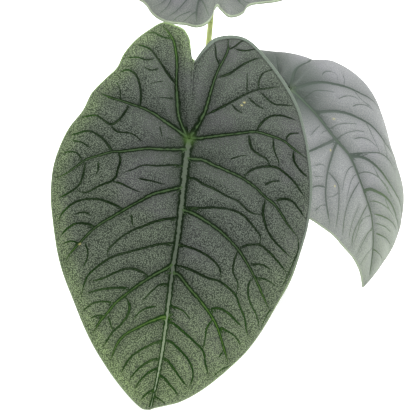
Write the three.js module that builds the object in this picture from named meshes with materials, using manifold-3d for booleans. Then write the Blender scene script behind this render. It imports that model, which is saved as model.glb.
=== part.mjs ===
// A potted alocasia melo: three thick, heart-shaped leaves on pale stalks, a short rhizome,
// a bed of chunky potting mix and a plain tapered pot.
// Millimetres, +Z up, origin at the middle of the pot's base, the front leaf towards -Y.

import * as THREE from "three";
import { mergeVertices } from "three/addons/utils/BufferGeometryUtils.js";
import Module from "manifold-3d";

// Driving dimensions, in millimetres unless a name says otherwise

// Pot
const RIM_RADIUS = 60;
const POT_HEIGHT = 105;
const BASE_RADIUS = 44.5;
const WALL = 2;
const RIM_BAND_HEIGHT = 13;
const RIM_BAND_STEP = 2.4;
const RIM_LIP_SPREAD = 0.6;
const FLOOR_RISE = 2.5;
const FOOT_DISC_RADIUS = 12;
const FOOT_RING_WIDTH = 8.5;
const FOOT_ROUNDING = 1.2;
const FOOT_NOTCH_COUNT = 4;
const FOOT_NOTCH_WIDTH = 9;
const FOOT_NOTCH_HEIGHT = 1.6;
const DRAIN_COUNT = 6;
const DRAIN_RADIUS = 4;
const DRAIN_RING_RADIUS = 25;
const DRAIN_SIDES = 16;
const POT_SIDES = 48;

// Potting mix and rhizome
const TOUCHING_GAP = 0.35;
const MIX_TOP = 93;
const MIX_MOUND = 2.5;
const MIX_EDGE_DROP = 2;
const MIX_LUMP = 1.3;
const MIX_RING_SHARES = [1, 0.94, 0.84, 0.72, 0.6, 0.48, 0.37, 0.28];
const STEM_HOLE_RADIUS = 9.9;
const STEM_HOLE_BOTTOM = 34;
const RHIZOME_RADIUS = 9;
const RHIZOME_FOOT = 62;
const RHIZOME_TOP = 111;
const RHIZOME_SIDES = 24;
const RHIZOME_SCARS = 7;
const SCAR_STEP = 0.5;
const ROOT_COUNT = 5;
const ROOT_RADIUS = 1.7;
const ROOT_PATH = [[3.4, 67], [4.6, 56], [6.3, 47], [5.2, 37]];
const ROOT_TWIST = 0.02;

// Stalks
const STALK_TOP_RADIUS = 1.75;
const STALK_BASE_RADIUS = 3.5;
const STALK_SIDES = 10;
const STALK_STEPS = 16;

// Blades
const BLADE_LENGTH = 200;
const BLADE_THICKNESS = 1.2;
const BLADE_ROWS = [0.07, 0.18, 0.3, 0.42, 0.55, 0.68, 0.84, 1];
const PANEL_COLUMNS = 4;
const MIDRIB_STEP = 0.03;
const TIP_FAN_START = 0.93;
const CURVE_SAMPLES = 600;

// Relief of the blades: main veins sunk between puffed panels, a fork in the outer part of each
// panel, and cross veins that tie neighbouring veins
const MIDRIB_SINK = 1.3;
const VEIN_SINK = 0.9;
const PANEL_RISE = 2.2;
const FULL_RISE_WIDTH = 26;
const MARGIN_WAVE_SHARE = 0.35;
const FAN_LEVEL_ROWS = [0.07, 0.42];
const FORK_ROWS = [0.36, 0.6];
const FORK_RISE_SHARE = 0.45;
const CROSS_VEIN_SPACING = 0.25;
const CROSS_VEIN_STARTS = [0.3, 0.42];
const CROSS_VEIN_SHARE = 0.4;

// The view that the blades are drawn in: the photograph looks down at VIEW_TILT_DEG, straight at
// the front blade, so a blade is drawn by photo pixels and a depth in millimetres behind the plane
// of the front blade's joint
const VIEW_TILT_DEG = 40;
const VIEW_DISTANCE = 400;
const PHOTO_MIDDLE = 208;
const BLADE_LENGTH_PIXELS = 388;
const FRONT_JOINT_PIXEL = [189, 139];
const FRONT_JOINT = new THREE.Vector3(0, -90, 209);

const PIXEL_SIZE = BLADE_LENGTH / BLADE_LENGTH_PIXELS;
const TILT = THREE.MathUtils.degToRad(VIEW_TILT_DEG);
const VIEW_RIGHT = new THREE.Vector3(1, 0, 0);
const VIEW_DOWN = new THREE.Vector3(0, -Math.sin(TILT), -Math.cos(TILT));
const VIEW_FORWARD = new THREE.Vector3(0, Math.cos(TILT), -Math.sin(TILT));
const VIEW_MIDDLE = FRONT_JOINT.clone()
  .addScaledVector(VIEW_RIGHT, (PHOTO_MIDDLE - FRONT_JOINT_PIXEL[0]) * PIXEL_SIZE)
  .addScaledVector(VIEW_DOWN, (PHOTO_MIDDLE - FRONT_JOINT_PIXEL[1]) * PIXEL_SIZE);
const EYE = VIEW_MIDDLE.clone().addScaledVector(VIEW_FORWARD, -VIEW_DISTANCE);

// Front blade: photo pixels and depth. Each margin runs from the notch to the tip.
const FRONT_MIDRIB = [
  [189, 139, 0], [187.5, 150, -0.5], [184.5, 175, -1.5], [182, 200, -2], [178.5, 232, -2],
  [174, 260, -1], [170, 290, 0.5], [166.5, 320, 2.5], [161.5, 355, 6], [156, 385, 10], [149.5, 410, 14],
];
const FRONT_RIGHT_MARGIN = [
  [195, 61, 5], [200, 53.5, 5], [205, 47, 5.5], [213, 39.5, 7], [223, 36.3, 9], [234, 35.8, 11],
  [246, 39, 12], [258, 48.5, 12], [276, 70, 11], [290, 91, 12], [299, 109.5, 13], [304.5, 130, 12],
  [309.5, 155, 11], [312, 180, 12], [311, 205, 13], [307, 230, 12], [300.5, 252, 10.5], [291, 279, 10],
  [279.5, 300, 11], [262, 330, 11], [247.5, 350, 10], [227, 370, 10.5], [200, 391, 12],
  [180, 401.5, 12], [165, 405.5, 12.5], [155, 408, 13.5], [149.5, 410, 14],
];
const FRONT_LEFT_MARGIN = [
  [195, 61, 5], [192, 58, 5], [190.5, 48, 5], [189.5, 39, 6], [184, 29.8, 7], [175, 25.5, 9],
  [163, 22.5, 11], [150, 29.5, 12], [135, 41, 11], [124, 54.5, 9], [117.5, 67.5, 8], [105, 79.5, 8.5],
  [92, 93, 9.5], [84, 109, 8.5], [69.5, 127.5, 8], [60, 146.5, 9], [53, 169, 9.5], [51, 195, 8],
  [53, 221, 7.5], [60, 263, 9], [73, 299, 9], [90, 339, 8], [108, 369, 9], [125, 391.5, 11],
  [136, 403.5, 13], [143, 409, 14], [149.5, 410, 14],
];

const FRONT_ARCH = 0.05;

// Main veins of the front blade: where each leaves the midrib, where it meets the margin, and how
// far it bows towards the notch, as a share of its length
const RIGHT_VEINS = [
  { from: [189, 139], to: [228, 36], bow: -0.015 },
  { from: [189, 139], to: [287, 87], bow: 0.11 },
  { from: [189, 139], to: [311, 163], bow: 0.14 },
  { from: [186.5, 158], to: [303, 243], bow: 0.117 },
  { from: [182, 205], to: [270, 312], bow: 0.124 },
  { from: [175, 252], to: [252, 343], bow: 0.19 },
  { from: [172, 274], to: [229, 365], bow: 0.1 },
  { from: [166, 316], to: [210, 382], bow: 0.127 },
  { from: [163, 337], to: [191, 396], bow: 0.15 },
  { from: [158.5, 368], to: [177, 402], bow: 0.05 },
];
const LEFT_VEINS = [
  { from: [189, 139], to: [168, 23], bow: -0.01 },
  { from: [189, 139], to: [131, 45.5], bow: 0.06 },
  { from: [189, 139], to: [91, 94], bow: 0.07 },
  { from: [187, 149], to: [52, 180], bow: 0.1 },
  { from: [183, 187], to: [60, 262], bow: 0.078 },
  { from: [175, 243], to: [75, 303], bow: 0.157 },
  { from: [172, 264], to: [89, 336], bow: 0.07 },
  { from: [165, 316], to: [105, 363], bow: 0.127 },
  { from: [162, 340], to: [117, 380], bow: 0.134 },
  { from: [158, 367], to: [131, 398], bow: 0.127 },
];

// Right blade: photo pixels and depth. It hangs to the right behind the front blade, its far half
// turning away; its lobes fold back behind the front blade.
const RIGHT_MIDRIB = [
  [291, 88, 42], [304, 101, 45], [317.4, 115, 49], [334.6, 136, 54], [351, 156, 59], [359.5, 178, 63],
  [366, 199, 69], [370.4, 215, 75], [372.6, 237, 83], [372.3, 254.6, 90], [370, 270, 95], [363, 287.5, 100],
];
const RIGHT_FAR_MARGIN = [
  [258, 76, 66], [248, 69, 78], [240, 62, 90], [241, 54.5, 97], [250, 50.8, 99], [262, 51.5, 98],
  [275, 54, 96], [302, 60.5, 95], [335, 70, 96], [352, 78, 98], [367, 91, 100], [378, 108, 102],
  [385, 129, 104], [391, 152, 106], [396, 166, 108], [401, 190, 112], [402, 210, 115], [398.5, 230, 117],
  [391, 249, 115], [380, 266, 110], [370, 279, 105], [363, 287.5, 100],
];
const RIGHT_NEAR_MARGIN = [
  [258, 76, 66], [250, 84, 74], [240, 91, 77], [229, 99, 72], [221, 111, 62], [219, 127, 51],
  [226, 149, 42], [241, 172, 37], [262, 192, 35], [286, 207, 36], [309.6, 218.5, 40], [321, 226, 45],
  [333, 235, 52], [343.6, 247, 62], [352.5, 257, 72], [359.6, 271, 86], [363, 287.5, 100],
];
const RIGHT_FACING = new THREE.Vector3(0.72, -0.5, 0.48).normalize();
const RIGHT_ARCH = 0.1;

// Back blade: it lies almost level and points away. The ends of its lobes are photo pixels with a
// height above the ground; the rest is in millimetres from its joint.
const BACK_JOINT = new THREE.Vector3(12.3, 61.7, 242);
const BACK_MIDRIB = [[0, 0, 0], [-1, 25, 3], [-2, 55, 3], [-4, 85, -3], [-6, 112, -14], [-8, 136, -33]];
const BACK_RIGHT_LOBE = [
  [217.5, 5.5, 237], [220, 9, 236], [224, 13.3, 235], [229, 16.5, 234], [236, 16.2, 232.5],
  [243.4, 12.5, 231], [250, 5, 230],
];
const BACK_RIGHT_REST = [
  [41, -32, -13], [56, -15, -14], [64, 6, -13], [64, 30, -12], [56, 56, -13], [40, 83, -17],
  [20, 109, -23], [4, 126, -29], [-8, 136, -33],
];
const BACK_LEFT_LOBE = [
  [217.5, 5.5, 237], [214.5, 9.5, 236], [212.8, 15, 235], [209.5, 21, 234], [203.5, 25.2, 233],
  [196, 26.6, 232], [185.4, 24.3, 231], [173, 23.2, 230], [163.5, 20.8, 229], [153.2, 14.3, 228],
  [144.5, 3, 228],
];
const BACK_LEFT_REST = [
  [-55, -17, -14], [-66, 4, -14], [-67, 28, -12], [-61, 53, -13], [-49, 79, -17], [-33, 104, -23],
  [-19, 123, -29], [-8, 136, -33],
];
const BACK_ARCH = 0.07;

// Stalks: points from inside the crown up to the blade's joint, which the code adds
const FRONT_STALK = [[-2, -3.8, 98], [-2.8, -9, 114], [-2, -26, 144], [-1, -54, 175]];
const RIGHT_STALK = [[4.2, 0.5, 98], [8, -1.5, 114], [20, -10, 144], [38, -25, 177]];
const BACK_STALK = [[-1.3, 4.4, 98], [-1, 9, 114], [3.5, 22, 144], [9.6, 42, 187]];
const STALK_APPROACH = 14;
const STALK_TOP_DROP = 1;

// Colours and finish
const bladeFinish = new THREE.MeshStandardMaterial({ color: 0x566056, roughness: 0.5, metalness: 0 });
const paleBladeFinish = new THREE.MeshStandardMaterial({ color: 0x8b918b, roughness: 0.45, metalness: 0 });
const stalkFinish = new THREE.MeshStandardMaterial({ color: 0xcad28c, roughness: 0.5, metalness: 0 });
const rhizomeFinish = new THREE.MeshStandardMaterial({ color: 0x7a6a45, roughness: 0.8, metalness: 0 });
const mixFinish = new THREE.MeshStandardMaterial({ color: 0x3b2c20, roughness: 0.95, metalness: 0 });
const potFinish = new THREE.MeshStandardMaterial({ color: 0x3e4143, roughness: 0.6, metalness: 0 });

// A point of the photograph, carried along its sight line to a depth behind the front blade
function sightPoint(x, y, depth) {
  const spread = PIXEL_SIZE * (1 + depth / VIEW_DISTANCE);
  return VIEW_MIDDLE.clone()
    .addScaledVector(VIEW_RIGHT, (x - PHOTO_MIDDLE) * spread)
    .addScaledVector(VIEW_DOWN, (y - PHOTO_MIDDLE) * spread)
    .addScaledVector(VIEW_FORWARD, depth);
}

// A point of the photograph, carried along its sight line to a height above the ground
function sightPointAtHeight(x, y, height) {
  const ray = sightPoint(x, y, 0).sub(EYE);
  return EYE.clone().addScaledVector(ray, (height - EYE.z) / ray.z);
}

function smoothCurve(points) {
  return new THREE.CatmullRomCurve3(points, false, "centripetal");
}

function flatCurve(pixels) {
  return smoothCurve(pixels.map(([x, y]) => new THREE.Vector3(x, y, 0)));
}

function spaceCurve(pixels) {
  return smoothCurve(pixels.map(([x, y, depth]) => sightPoint(x, y, depth)));
}

// Share of a flat curve's length at which it passes nearest to a point
function shareNear(curve, [x, y]) {
  const samples = curve.getSpacedPoints(CURVE_SAMPLES);
  const point = new THREE.Vector3(x, y, 0);
  let nearest = 0;
  samples.forEach((sample, index) => {
    if (sample.distanceTo(point) < samples[nearest].distanceTo(point)) {
      nearest = index;
    }
  });
  return nearest / CURVE_SAMPLES;
}

// A side's plan: knots that tie shares of its margin to shares of the midrib, with the vein's bow.
// The first knot is the notch and the last the tip.
function sidePlan(margin, veins) {
  const midribCurve = flatCurve(FRONT_MIDRIB);
  const marginCurve = flatCurve(margin);
  const knots = veins.map(({ from, to, bow }) => ({
    midrib: from[1] === FRONT_JOINT_PIXEL[1] ? 0 : shareNear(midribCurve, from),
    margin: shareNear(marginCurve, to),
    bow,
  }));
  return [{ midrib: 0, margin: 0, bow: 0 }, ...knots, { midrib: TIP_FAN_START, margin: 1, bow: 0 }];
}

function mix(a, b, share) {
  return a + (b - a) * share;
}

// Shares of the midrib that columns leave from: every vein of both sides, and steps between them
function midribStations(plans) {
  const veins = plans.flat().map((knot) => knot.midrib).sort((a, b) => a - b);
  const stations = [0];
  veins.forEach((share) => {
    const start = stations[stations.length - 1];
    const steps = Math.round((share - start) / MIDRIB_STEP);
    for (let step = 1; step <= steps; step += 1) {
      stations.push(mix(start, share, step / steps));
    }
  });
  return stations;
}

function nearestStation(stations, share) {
  const gaps = stations.map((station) => Math.abs(station - share));
  return gaps.indexOf(Math.min(...gaps));
}

// The columns of one side, from the notch to the tip, evenly spaced in each panel between two veins.
// A column starts at the midrib's nearest station, so that both sides share the midrib's points.
function sideColumns(plan, margin, stations) {
  const columns = plan.slice(1).flatMap((knot, panel) => (
    Array.from({ length: PANEL_COLUMNS }, (_, index) => {
      const between = index / PANEL_COLUMNS;
      const at = (key) => mix(plan[panel][key], knot[key], between);
      return {
        panel,
        between,
        width: (knot.margin - plan[panel].margin) * margin.getLength(),
        station: nearestStation(stations, at("midrib")),
        margin: at("margin"),
        bow: at("bow"),
      };
    })
  ));
  const tip = { panel: 0, between: 0, width: 0, station: stations.length - 1, margin: 1, bow: 0 };
  return [...columns, tip];
}

// Height of the relief at a share between two veins and a share of the way to the margin. Narrow
// panels rise less, and the columns that fan out from the joint start level with it.
function reliefHeight({ panel, between, width, station }, row) {
  const { smoothstep } = THREE.MathUtils;
  const single = Math.sin(Math.PI * between) ** 0.7;
  const forked = Math.max(Math.abs(Math.sin(2 * Math.PI * between)) ** 0.7, FORK_RISE_SHARE * single);
  const puff = mix(single, forked, smoothstep(row, ...FORK_ROWS));
  const turn = (row - CROSS_VEIN_STARTS[panel % 2]) / CROSS_VEIN_SPACING;
  const tied = 1 - CROSS_VEIN_SHARE * Math.max(Math.cos(2 * Math.PI * turn), 0);
  const swell = Math.sin(Math.PI * Math.min(0.08 + 0.92 * row, 1)) ** 0.6;
  const full = PANEL_RISE * Math.min(width / FULL_RISE_WIDTH, 1);
  const rise = full * Math.max(swell * tied, MARGIN_WAVE_SHARE * row);
  const sink = VEIN_SINK * (1 - 0.75 * row);
  const height = rise * puff - sink * (1 - puff);
  return station === 0 ? mix(-MIDRIB_SINK, height, smoothstep(row, ...FAN_LEVEL_ROWS)) : height;
}

// Middle surface of a blade. A column runs from the midrib to the margin, bowed as its vein is and
// arched towards the side that the blade faces.
function bladeSurface({ midrib, sides, facing, arch }) {
  const stations = midribStations(sides.map((side) => side.plan));
  const points = stations.map((share) => midrib.getPointAt(share));
  const relief = stations.map((share) => -MIDRIB_SINK * (1 - 0.6 * share));
  const [clockwise, other] = sides.map(({ plan, margin, turn }) => (
    sideColumns(plan, margin, stations).map((column) => {
      const reach = margin.getPointAt(column.margin).sub(points[column.station]);
      const sideways = facing.clone().cross(reach).multiplyScalar(column.bow * turn);
      return { ...column, reach, sideways };
    })
  ));
  const rings = [...clockwise, ...other.slice(1, -1).reverse()].map((column) => {
    const { station, reach, sideways } = column;
    const ring = [station];
    BLADE_ROWS.forEach((row) => {
      const hump = 4 * row * (1 - row);
      ring.push(points.length);
      points.push(points[station].clone()
        .addScaledVector(reach, row)
        .addScaledVector(sideways, hump)
        .addScaledVector(facing, hump * arch * reach.length()));
      relief.push(reliefHeight(column, row));
    });
    return ring;
  });
  return { points, relief, triangles: ringTriangles(rings), rim: rings.map((ring) => ring.at(-1)) };
}

// Triangles between neighbouring columns; the first row takes in the stations between their starts
function ringTriangles(rings) {
  const triangles = [];
  rings.forEach((ring, index) => {
    const next = rings[(index + 1) % rings.length];
    const step = Math.sign(next[0] - ring[0]);
    for (let station = ring[0]; station !== next[0]; station += step) {
      triangles.push([station, station + step, ring[1]]);
    }
    triangles.push([next[0], next[1], ring[1]]);
    for (let row = 1; row < BLADE_ROWS.length; row += 1) {
      triangles.push([ring[row], next[row + 1], ring[row + 1]], [ring[row], next[row], next[row + 1]]);
    }
  });
  return triangles;
}

function indexedGeometry(points, triangles) {
  const geometry = new THREE.BufferGeometry().setFromPoints(points);
  geometry.setIndex(triangles.flat());
  return geometry;
}

// A closed blade: the middle surface carried up and down its normals by half the thickness, with
// the relief added to both faces, and joined round the margin; swell thickens both faces
function thickened({ points, relief, triangles, rim }, swell) {
  const middle = indexedGeometry(points, triangles);
  middle.computeVertexNormals();
  const normals = middle.getAttribute("normal");
  const normalAt = (index) => new THREE.Vector3().fromBufferAttribute(normals, index);
  const face = (half) => points.map((point, index) => (
    point.clone().addScaledVector(normalAt(index), relief[index] + half)
  ));
  const count = points.length;
  const half = BLADE_THICKNESS / 2 + swell;
  const closed = [...triangles, ...triangles.map(([a, b, c]) => [a + count, c + count, b + count])];
  rim.forEach((here, index) => {
    const next = rim[(index + 1) % rim.length];
    closed.push([here, next, next + count], [here, next + count, here + count]);
  });
  const all = [...face(half), ...face(-half)];
  return { geometry: indexedGeometry(all, closed), joint: all[count], jointNormal: normalAt(0) };
}

function makeBlade(midrib, clockwiseMargin, otherMargin, facing, arch) {
  const plans = [sidePlan(FRONT_RIGHT_MARGIN, RIGHT_VEINS), sidePlan(FRONT_LEFT_MARGIN, LEFT_VEINS)];
  const sides = [
    { plan: plans[0], margin: clockwiseMargin, turn: 1 },
    { plan: plans[1], margin: otherMargin, turn: -1 },
  ];
  const surface = bladeSurface({ midrib, sides, facing, arch });
  return { ...thickened(surface, 0), swollen: thickened(surface, TOUCHING_GAP).geometry };
}

function makeFrontBlade() {
  const facing = VIEW_FORWARD.clone().negate();
  const [midrib, right, left] = [FRONT_MIDRIB, FRONT_RIGHT_MARGIN, FRONT_LEFT_MARGIN].map(spaceCurve);
  return makeBlade(midrib, right, left, facing, FRONT_ARCH);
}

function makeRightBlade() {
  const [midrib, far, near] = [RIGHT_MIDRIB, RIGHT_FAR_MARGIN, RIGHT_NEAR_MARGIN].map(spaceCurve);
  return makeBlade(midrib, far, near, RIGHT_FACING, RIGHT_ARCH);
}

function makeBackBlade() {
  const place = ([x, y, z]) => new THREE.Vector3(x, y, z).add(BACK_JOINT);
  const lobe = (pixels) => pixels.map(([x, y, height]) => sightPointAtHeight(x, y, height));
  const midrib = smoothCurve(BACK_MIDRIB.map(place));
  const right = smoothCurve([...lobe(BACK_RIGHT_LOBE), ...BACK_RIGHT_REST.map(place)]);
  const left = smoothCurve([...lobe(BACK_LEFT_LOBE), ...BACK_LEFT_REST.map(place)]);
  return makeBlade(midrib, left, right, new THREE.Vector3(0, 0, 1), BACK_ARCH);
}

// A closed round tube along a curve whose radius follows a function of the share along it
function taperedTube(curve, radiusAt, sides, steps) {
  const frames = curve.computeFrenetFrames(steps, false);
  const points = [];
  const triangles = [];
  for (let step = 0; step <= steps; step += 1) {
    const share = step / steps;
    const centre = curve.getPointAt(share);
    for (let side = 0; side < sides; side += 1) {
      const angle = (side / sides) * 2 * Math.PI;
      points.push(centre.clone()
        .addScaledVector(frames.normals[step], radiusAt(share) * Math.cos(angle))
        .addScaledVector(frames.binormals[step], radiusAt(share) * Math.sin(angle)));
    }
  }
  for (let step = 0; step < steps; step += 1) {
    for (let side = 0; side < sides; side += 1) {
      const next = (side + 1) % sides;
      const [a, b] = [step * sides + side, step * sides + next];
      triangles.push([a, b, b + sides], [a, b + sides, a + sides]);
    }
  }
  const foot = points.push(curve.getPointAt(0)) - 1;
  const top = points.push(curve.getPointAt(1)) - 1;
  for (let side = 0; side < sides; side += 1) {
    const next = (side + 1) % sides;
    triangles.push([foot, next, side], [top, steps * sides + side, steps * sides + next]);
  }
  return indexedGeometry(points, triangles);
}

const wasm = await Module();
wasm.setup();

function toSolid(geometry) {
  const bare = geometry.clone();
  bare.deleteAttribute("normal");
  bare.deleteAttribute("uv");
  const merged = mergeVertices(bare, 1e-4);
  return new wasm.Manifold(new wasm.Mesh({
    numProp: 3,
    vertProperties: new Float32Array(merged.getAttribute("position").array),
    triVerts: new Uint32Array(merged.getIndex().array),
  }));
}

function toGeometry(solid) {
  const mesh = solid.getMesh();
  const geometry = new THREE.BufferGeometry();
  geometry.setAttribute("position", new THREE.BufferAttribute(new Float32Array(mesh.vertProperties), 3));
  geometry.setIndex(new THREE.BufferAttribute(new Uint32Array(mesh.triVerts), 1));
  return geometry;
}

// A turned solid about +Z from [radius, height] points, listed from the bottom of the axis outwards
function turned(profile, sides) {
  const geometry = new THREE.LatheGeometry(profile.map(([r, z]) => new THREE.Vector2(r, z)), sides);
  return geometry.rotateX(Math.PI / 2);
}

const WALL_TOP = POT_HEIGHT - RIM_BAND_HEIGHT;
const OUTER_TOP_RADIUS = RIM_RADIUS - RIM_BAND_STEP;
const POT_FLOOR_TOP = FLOOR_RISE + WALL;
const INNER_ROUNDING = 2;

// Outer radius of the pot's tapered wall at a height
function wallRadius(height) {
  return mix(BASE_RADIUS, OUTER_TOP_RADIUS, height / WALL_TOP);
}

// Angles of a ring of features, from a share of the step between two of them
function ringAngles(count, start) {
  return Array.from({ length: count }, (_, index) => ((index + start) / count) * 2 * Math.PI);
}

// The pot stands on a ring and a middle disc; its floor between them is raised and drained
function makePot() {
  const innerTop = wallRadius(WALL_TOP) - WALL;
  const corner = POT_FLOOR_TOP + INNER_ROUNDING;
  const underside = [
    [0, 0],
    [FOOT_DISC_RADIUS, 0],
    [FOOT_DISC_RADIUS + 2, FLOOR_RISE],
    [BASE_RADIUS - FOOT_RING_WIDTH - 1.5, FLOOR_RISE],
    [BASE_RADIUS - FOOT_RING_WIDTH, 0],
    [BASE_RADIUS - FOOT_ROUNDING, 0],
  ];
  const outside = [
    [BASE_RADIUS, FOOT_ROUNDING],
    [OUTER_TOP_RADIUS, WALL_TOP],
    [RIM_RADIUS - 0.4, WALL_TOP + 0.8],
    [RIM_RADIUS, WALL_TOP + 2],
    [RIM_RADIUS + RIM_LIP_SPREAD, POT_HEIGHT - 1.2],
  ];
  const lip = [
    [RIM_RADIUS - 0.2, POT_HEIGHT],
    [RIM_RADIUS - 1.4, POT_HEIGHT],
    [RIM_RADIUS - WALL, POT_HEIGHT - 1],
  ];
  const inside = [
    [innerTop + 1.2, WALL_TOP + 1],
    [innerTop, WALL_TOP - 1],
    [wallRadius(corner) - WALL, corner],
    [BASE_RADIUS - WALL - INNER_ROUNDING, POT_FLOOR_TOP],
    [0, POT_FLOOR_TOP],
  ];
  const body = toSolid(turned([...underside, ...outside, ...lip, ...inside], POT_SIDES));
  const drains = ringAngles(DRAIN_COUNT, 0.5).map((angle) => {
    const drill = new THREE.CylinderGeometry(DRAIN_RADIUS, DRAIN_RADIUS, 4 * WALL, DRAIN_SIDES);
    return toSolid(drill.rotateX(Math.PI / 2).translate(DRAIN_RING_RADIUS, 0, FLOOR_RISE).rotateZ(angle));
  });
  const notches = ringAngles(FOOT_NOTCH_COUNT, 0.5).map((angle) => {
    const cutter = new THREE.BoxGeometry(2 * FOOT_RING_WIDTH, FOOT_NOTCH_WIDTH, 2 * FOOT_NOTCH_HEIGHT);
    return toSolid(cutter.translate(BASE_RADIUS - FOOT_RING_WIDTH / 2, 0, 0).rotateZ(angle));
  });
  return toGeometry([...drains, ...notches].reduce((pot, cutter) => pot.subtract(cutter), body));
}

// Lumps of bark on the mix, as a sum of two waves across it
function lumpHeight(x, y) {
  const broad = Math.sin(x * 0.21 + 1.1) * Math.cos(y * 0.19 - 0.6);
  const fine = Math.sin(x * 0.47 - y * 0.31) * Math.cos(y * 0.52 + x * 0.13 + 2.1);
  return MIX_LUMP * (0.6 * broad + 0.4 * fine);
}

// The mix fills the pot a touching gap from its wall, with a plain hole for the rhizome; its top is
// mounded and lumpy, and level where it meets the wall and the hole
function makePottingMix() {
  const wall = (height) => wallRadius(height) - WALL - TOUCHING_GAP;
  const bottom = POT_FLOOR_TOP + TOUCHING_GAP;
  const edge = wall(MIX_TOP - MIX_EDGE_DROP) - 0.2;
  const surface = MIX_RING_SHARES.map((share) => [
    edge * share,
    MIX_TOP - (share === 1 ? MIX_EDGE_DROP : 0) + MIX_MOUND * (1 - share * share),
  ]);
  const geometry = turned([
    [0, bottom],
    [BASE_RADIUS - WALL - INNER_ROUNDING - TOUCHING_GAP, bottom],
    [wall(POT_FLOOR_TOP + INNER_ROUNDING) - 0.2, bottom + INNER_ROUNDING + 0.2],
    [edge, MIX_TOP - 2 * MIX_EDGE_DROP],
    ...surface,
    [STEM_HOLE_RADIUS, MIX_TOP + MIX_MOUND - 0.5],
    [STEM_HOLE_RADIUS, STEM_HOLE_BOTTOM],
    [0, STEM_HOLE_BOTTOM],
  ], POT_SIDES);
  const position = geometry.getAttribute("position");
  for (let index = 0; index < position.count; index += 1) {
    const [x, y, z] = [position.getX(index), position.getY(index), position.getZ(index)];
    const radius = Math.hypot(x, y);
    const fade = THREE.MathUtils.smoothstep(edge - radius, 0.5, 6);
    if (z > MIX_TOP - MIX_EDGE_DROP - 0.5 && radius > STEM_HOLE_RADIUS + 1) {
      position.setZ(index, z + lumpHeight(x, y) * fade);
    }
  }
  return geometry;
}

// The rhizome's stem, stepped at each old leaf scar; swell widens it all over
function rhizomeStem(swell) {
  const scars = Array.from({ length: RHIZOME_SCARS }, (_, index) => [
    RHIZOME_RADIUS - (index % 2) * SCAR_STEP + swell,
    mix(RHIZOME_FOOT + 6, RHIZOME_TOP - 8, index / (RHIZOME_SCARS - 1)),
  ]);
  return toSolid(turned([
    [0, RHIZOME_FOOT - swell],
    [RHIZOME_RADIUS * 0.67 + swell, RHIZOME_FOOT + 0.5 - swell],
    ...scars,
    [RHIZOME_RADIUS * 0.8 + swell, RHIZOME_TOP - 3.5 + swell],
    [RHIZOME_RADIUS * 0.5 + swell, RHIZOME_TOP - 0.8 + swell],
    [0, RHIZOME_TOP + swell],
  ], RHIZOME_SIDES));
}

function makeRhizome() {
  const roots = ringAngles(ROOT_COUNT, 0.3).map((angle) => {
    const path = ROOT_PATH.map(([radius, height]) => new THREE.Vector3(
      radius * Math.cos(angle + height * ROOT_TWIST),
      radius * Math.sin(angle + height * ROOT_TWIST),
      height,
    ));
    return toSolid(taperedTube(smoothCurve(path), (share) => ROOT_RADIUS * (1 - 0.45 * share), 6, 6));
  });
  return toGeometry(roots.reduce((stem, root) => stem.add(root), rhizomeStem(0)));
}

// A stalk: it widens into a sheath at its base and is cut to the crown's shape there. It meets the
// blade square on and is cut to the blade's underside, a touching gap below it.
function makeStalk(route, blade, crown) {
  const below = (drop) => blade.joint.clone().addScaledVector(blade.jointNormal, -drop);
  const points = route.map((point) => new THREE.Vector3(...point));
  const curve = smoothCurve([...points, below(STALK_APPROACH), below(STALK_TOP_DROP)]);
  const radiusAt = (share) => mix(STALK_TOP_RADIUS, STALK_BASE_RADIUS, (1 - share) ** 2.2);
  const tube = toSolid(taperedTube(curve, radiusAt, STALK_SIDES, STALK_STEPS));
  const pieces = tube.subtract(crown).subtract(toSolid(blade.swollen)).decompose();
  pieces.sort((a, b) => b.volume() - a.volume());
  return toGeometry(pieces[0]);
}

function named(name, geometry, material) {
  const mesh = new THREE.Mesh(geometry, material);
  mesh.name = name;
  return mesh;
}

const plant = new THREE.Group();

const frontBlade = makeFrontBlade();
const rightBlade = makeRightBlade();
const backBlade = makeBackBlade();
const crown = rhizomeStem(TOUCHING_GAP);

const leaves = new THREE.Group();
leaves.add(
  named("blade_front", frontBlade.geometry, bladeFinish),
  named("blade_right", rightBlade.geometry, paleBladeFinish),
  named("blade_back", backBlade.geometry, paleBladeFinish),
  named("petiole_front", makeStalk(FRONT_STALK, frontBlade, crown), stalkFinish),
  named("petiole_right", makeStalk(RIGHT_STALK, rightBlade, crown), stalkFinish),
  named("petiole_back", makeStalk(BACK_STALK, backBlade, crown), stalkFinish),
);

const base = new THREE.Group();
base.add(
  named("rhizome", makeRhizome(), rhizomeFinish),
  named("potting_mix", makePottingMix(), mixFinish),
  named("pot", makePot(), potFinish),
);

plant.add(leaves, base);

export default plant;
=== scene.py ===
"""Potted alocasia melo: three thick, quilted, cordate leaves on pale stalks, a short rhizome
with its roots, a bed of bark mix and a plain moulded grower's pot.

Shapes are worked out in millimetres in the frame of the CAD model (+Z up, the front leaf towards
-Y) and written to the meshes in metres. Blades are drawn in the frame of the photograph: pixels
from its upper left corner, and a depth behind the plane of the front blade's joint.
"""

import logging
import math
from dataclasses import dataclass, field, replace
from enum import Enum

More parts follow.
